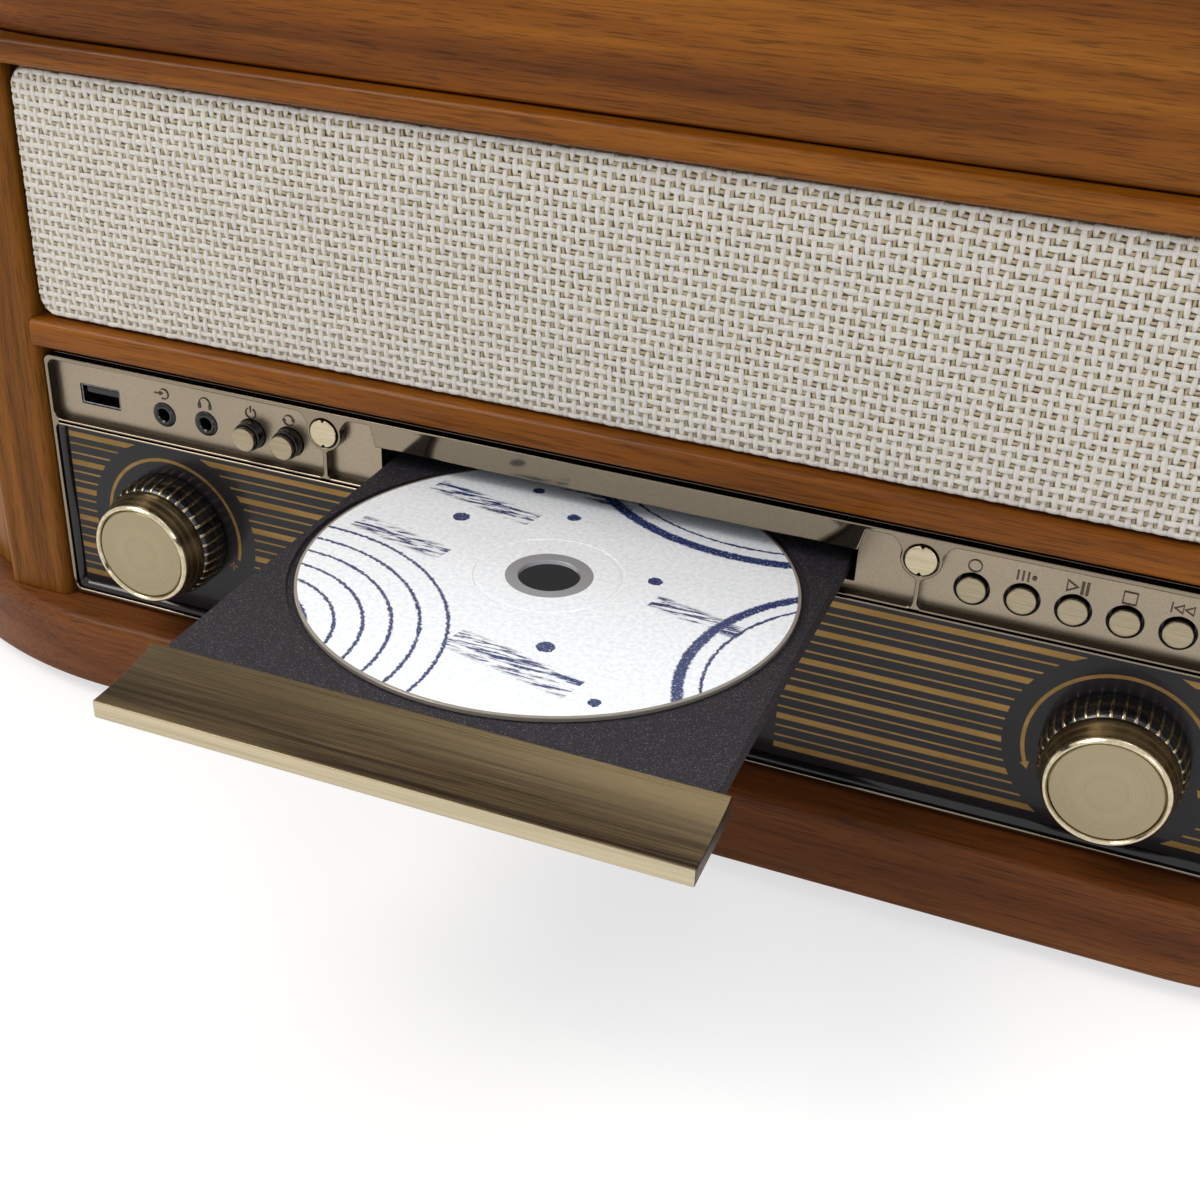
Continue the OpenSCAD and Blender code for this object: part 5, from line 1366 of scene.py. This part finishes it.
class OBJECT_OT_grille(bpy.types.Operator):
    """Coarse cloth over the speakers, woven from white and tan yarn, stretched on its board"""

    bl_idname = "music_centre.grille"
    bl_label = "Speaker cloth"

    def execute(self, context):
        bulge, pitch = setting_mm("cloth_bulge"), setting_mm("yarn_pitch")
        low, high = CLOTH_LOW.z + 0.1, CLOTH_HIGH.z - 0.1
        mid, tall, front = (low + high) / 2, (high - low) / 2, CLOTH_LOW.y + 1.3
        sheet = cloth_backing(front, low, tall, bulge)
        fit(sheet, "cabinet", "grille_cloth", "grille_cloth")

        rise = pitch * 1.16
        columns, rows = int((2 * CLOTH_HALF + 2) / pitch), int((2 * tall + 2) / rise)
        corner = (-(columns - 1) * pitch / 2, front - 0.4, mid - (rows - 1) * rise / 2)
        between = (pitch / 2, -0.15, rise / 2)
        tree, made = weave_tree(), []
        # name, size of a float, its faces, upright, shift of the lattice, seed, finish
        for name, size, faces, upright, nudge, seed, finish in (
            ("yarn_across", (4.0, 1.55, 0.52), (6, 5), False, (0, -0.18, 0), 3, "yarn_white"),
            ("yarn_upright", (4.5, 1.45, 0.52), (6, 5), True, (0, -0.1, 0), 7, "yarn_white"),
            ("strand_across", (2.0, 0.8, 0.4), (3, 4), False, between, 11, "yarn_tan"),
            ("strand_upright", (2.1, 0.75, 0.4), (3, 4), True, between, 17, "yarn_tan"),
        ):
            finish = MATERIALS[finish]
            part = yarn_float(name + "_float", *size, *faces, finish, upright)
            yarns = run_tree(
                name, tree, part, Columns=columns, Rows=rows, Pitch=(pitch * MM, 0, rise * MM),
                Corner=[(c + n) * MM for c, n in zip(corner, nudge)], Offset=int(upright), Lean=1,
                Wander=0.14 * MM, Bulge=bulge * MM, Seed=seed, Material=finish)
            turn_back(yarns, front, low, tall)
            made.append(fit(yarns, "cabinet", "grille_cloth"))
        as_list(made)
        return {"FINISHED"}


# ---- Lid, record deck and inner parts ----


class OBJECT_OT_lid(bpy.types.Operator):
    """Hinged wooden lid with rounded upper edges, hollow below, and its brass hinges"""

    bl_idname = "music_centre.lid"
    bl_label = "Lid"

    def execute(self, context):
        m = MATERIALS
        inset, wall = PLINTH_HIGH.x - LID_HIGH.x, 9.0
        z0, z1, back = LID_LOW.z, LID_HIGH.z, LID_HIGH.y
        hollow = [plan_ring(inset + wall, back - wall, z) for z in (z1 - wall, z0 + 0.4)]
        hollow.append(plan_ring(inset + wall - 0.4, back - wall + 0.4, z0))
        lid = loft("lid_moulded", hollow + board_rings(inset, back, z0, z1, 0.8, 5.0, 7), m["wood_x"])
        grain_along_sides(lid, m["wood_y"])
        fit(even_shading(lid), "lid", "wood", "lid")
        for node, body in (("lid_hinges", "lid"), ("cabinet_hinges", "cabinet")):
            fit(dressed_copy(node, "hinge_brass", 0.2, 50), body, "hinge_brass", node)
        return {"FINISHED"}


class OBJECT_OT_deck(bpy.types.Operator):
    """Record deck under the lid: sunk plate, platter with a ribbed mat, arm, lever and selector"""

    bl_idname = "music_centre.deck"
    bl_label = "Record deck"

    def execute(self, context):
        record = frame["record"]
        bodies = {node: body for body, nodes in record["behaviour"]["bodies"].items() for node in nodes}
        finish = {item["node"]: item["material_slot"] for item in record["subparts"]}
        for edge, nodes in (
            (0.5, ("deck_plate", "platter")),
            (0.4, ("speed_knob",)),
            (0.3, ("arm_base", "arm_rest", "arm_gimbal", "headshell", "cue_lever")),
            (0.25, ("arm_tube",)),
        ):
            for node in nodes:
                fit(dressed_copy(node, finish[node], edge, 50), bodies[node], finish[node], node)

        # Mat with fine ribs between a plain rim and a plain middle
        low, high = reach("platter_mat")
        outer, middle, hole = high.x - SPINDLE[0], 34, 4.2
        profile = [(hole, low.z), (outer - 0.5, low.z), (outer, low.z + 0.5), (outer, high.z - 0.4),
                   (outer - 0.4, high.z), (outer - 5, high.z)]
        radius = outer - 6
        while radius > middle:
            profile += [(radius, high.z - 0.55), (radius - 1.0, high.z - 0.55),
                        (radius - 1.4, high.z), (radius - 2.6, high.z)]
            radius -= 3.0
        profile += [(20, high.z), (hole, high.z)]
        mat = turned("mat_ribbed", profile, SPINDLE, MATERIALS["mat_rubber"], "z", 96, 30, True)
        fit(mat, bodies["platter_mat"], "mat_rubber", "platter_mat")
        return {"FINISHED"}


class OBJECT_OT_inside(bpy.types.Operator):
    """Feet and rear sockets, and the finish of every inner part that keeps its CAD shape"""

    bl_idname = "music_centre.inside"
    bl_label = "Feet, sockets and inner parts"

    def execute(self, context):
        for node, finish, edge in (
            ("feet", "rubber", 0.4),
            ("rear_sockets", "black_plastic", 0.25),
            ("grille_board", "baffle_board", 0.25),
        ):
            fit(dressed_copy(node, finish, edge, 50), "cabinet", finish, node)
        for item in frame["record"]["subparts"]:
            materials = frame["nodes"][item["node"]].data.materials
            finish = MATERIALS[item["material_slot"]]
            if not materials:
                materials.append(finish)
            for i in range(len(materials)):
                materials[i] = finish
        return {"FINISHED"}


# ---- Settings panel and registration ----


class VIEW3D_PT_music_centre(bpy.types.Panel):
    """Lists the settings and the pieces of the music centre"""

    bl_idname = "VIEW3D_PT_music_centre"
    bl_label = "Music centre"
    bl_space_type = "VIEW_3D"
    bl_region_type = "UI"
    bl_category = "Music centre"

    def draw(self, context):
        layout = self.layout
        for key in MusicCentreSettings.__annotations__:
            layout.prop(context.scene.music_centre, key)
        for operator in OPERATORS:
            layout.operator(operator.bl_idname)


OPERATORS = (
    OBJECT_OT_studio,
    OBJECT_OT_cabinet,
    OBJECT_OT_panel,
    OBJECT_OT_symbols,
    OBJECT_OT_dial,
    OBJECT_OT_knobs,
    OBJECT_OT_buttons,
    OBJECT_OT_drawer,
    OBJECT_OT_grille,
    OBJECT_OT_lid,
    OBJECT_OT_deck,
    OBJECT_OT_inside,
)
CLASSES = (MusicCentreSettings, *OPERATORS, VIEW3D_PT_music_centre)


def register():
    for item in CLASSES:
        bpy.utils.register_class(item)
    bpy.types.Scene.music_centre = bpy.props.PointerProperty(type=MusicCentreSettings)


def unregister():
    del bpy.types.Scene.music_centre
    for item in reversed(CLASSES):
        bpy.utils.unregister_class(item)


def main():
    register()
    make_materials()
    for operator in OPERATORS:
        group, name = operator.bl_idname.split(".")
        if getattr(getattr(bpy.ops, group), name)() != {"FINISHED"}:
            raise RuntimeError(operator.bl_idname + " did not finish")


if __name__ == "__main__":
    main()
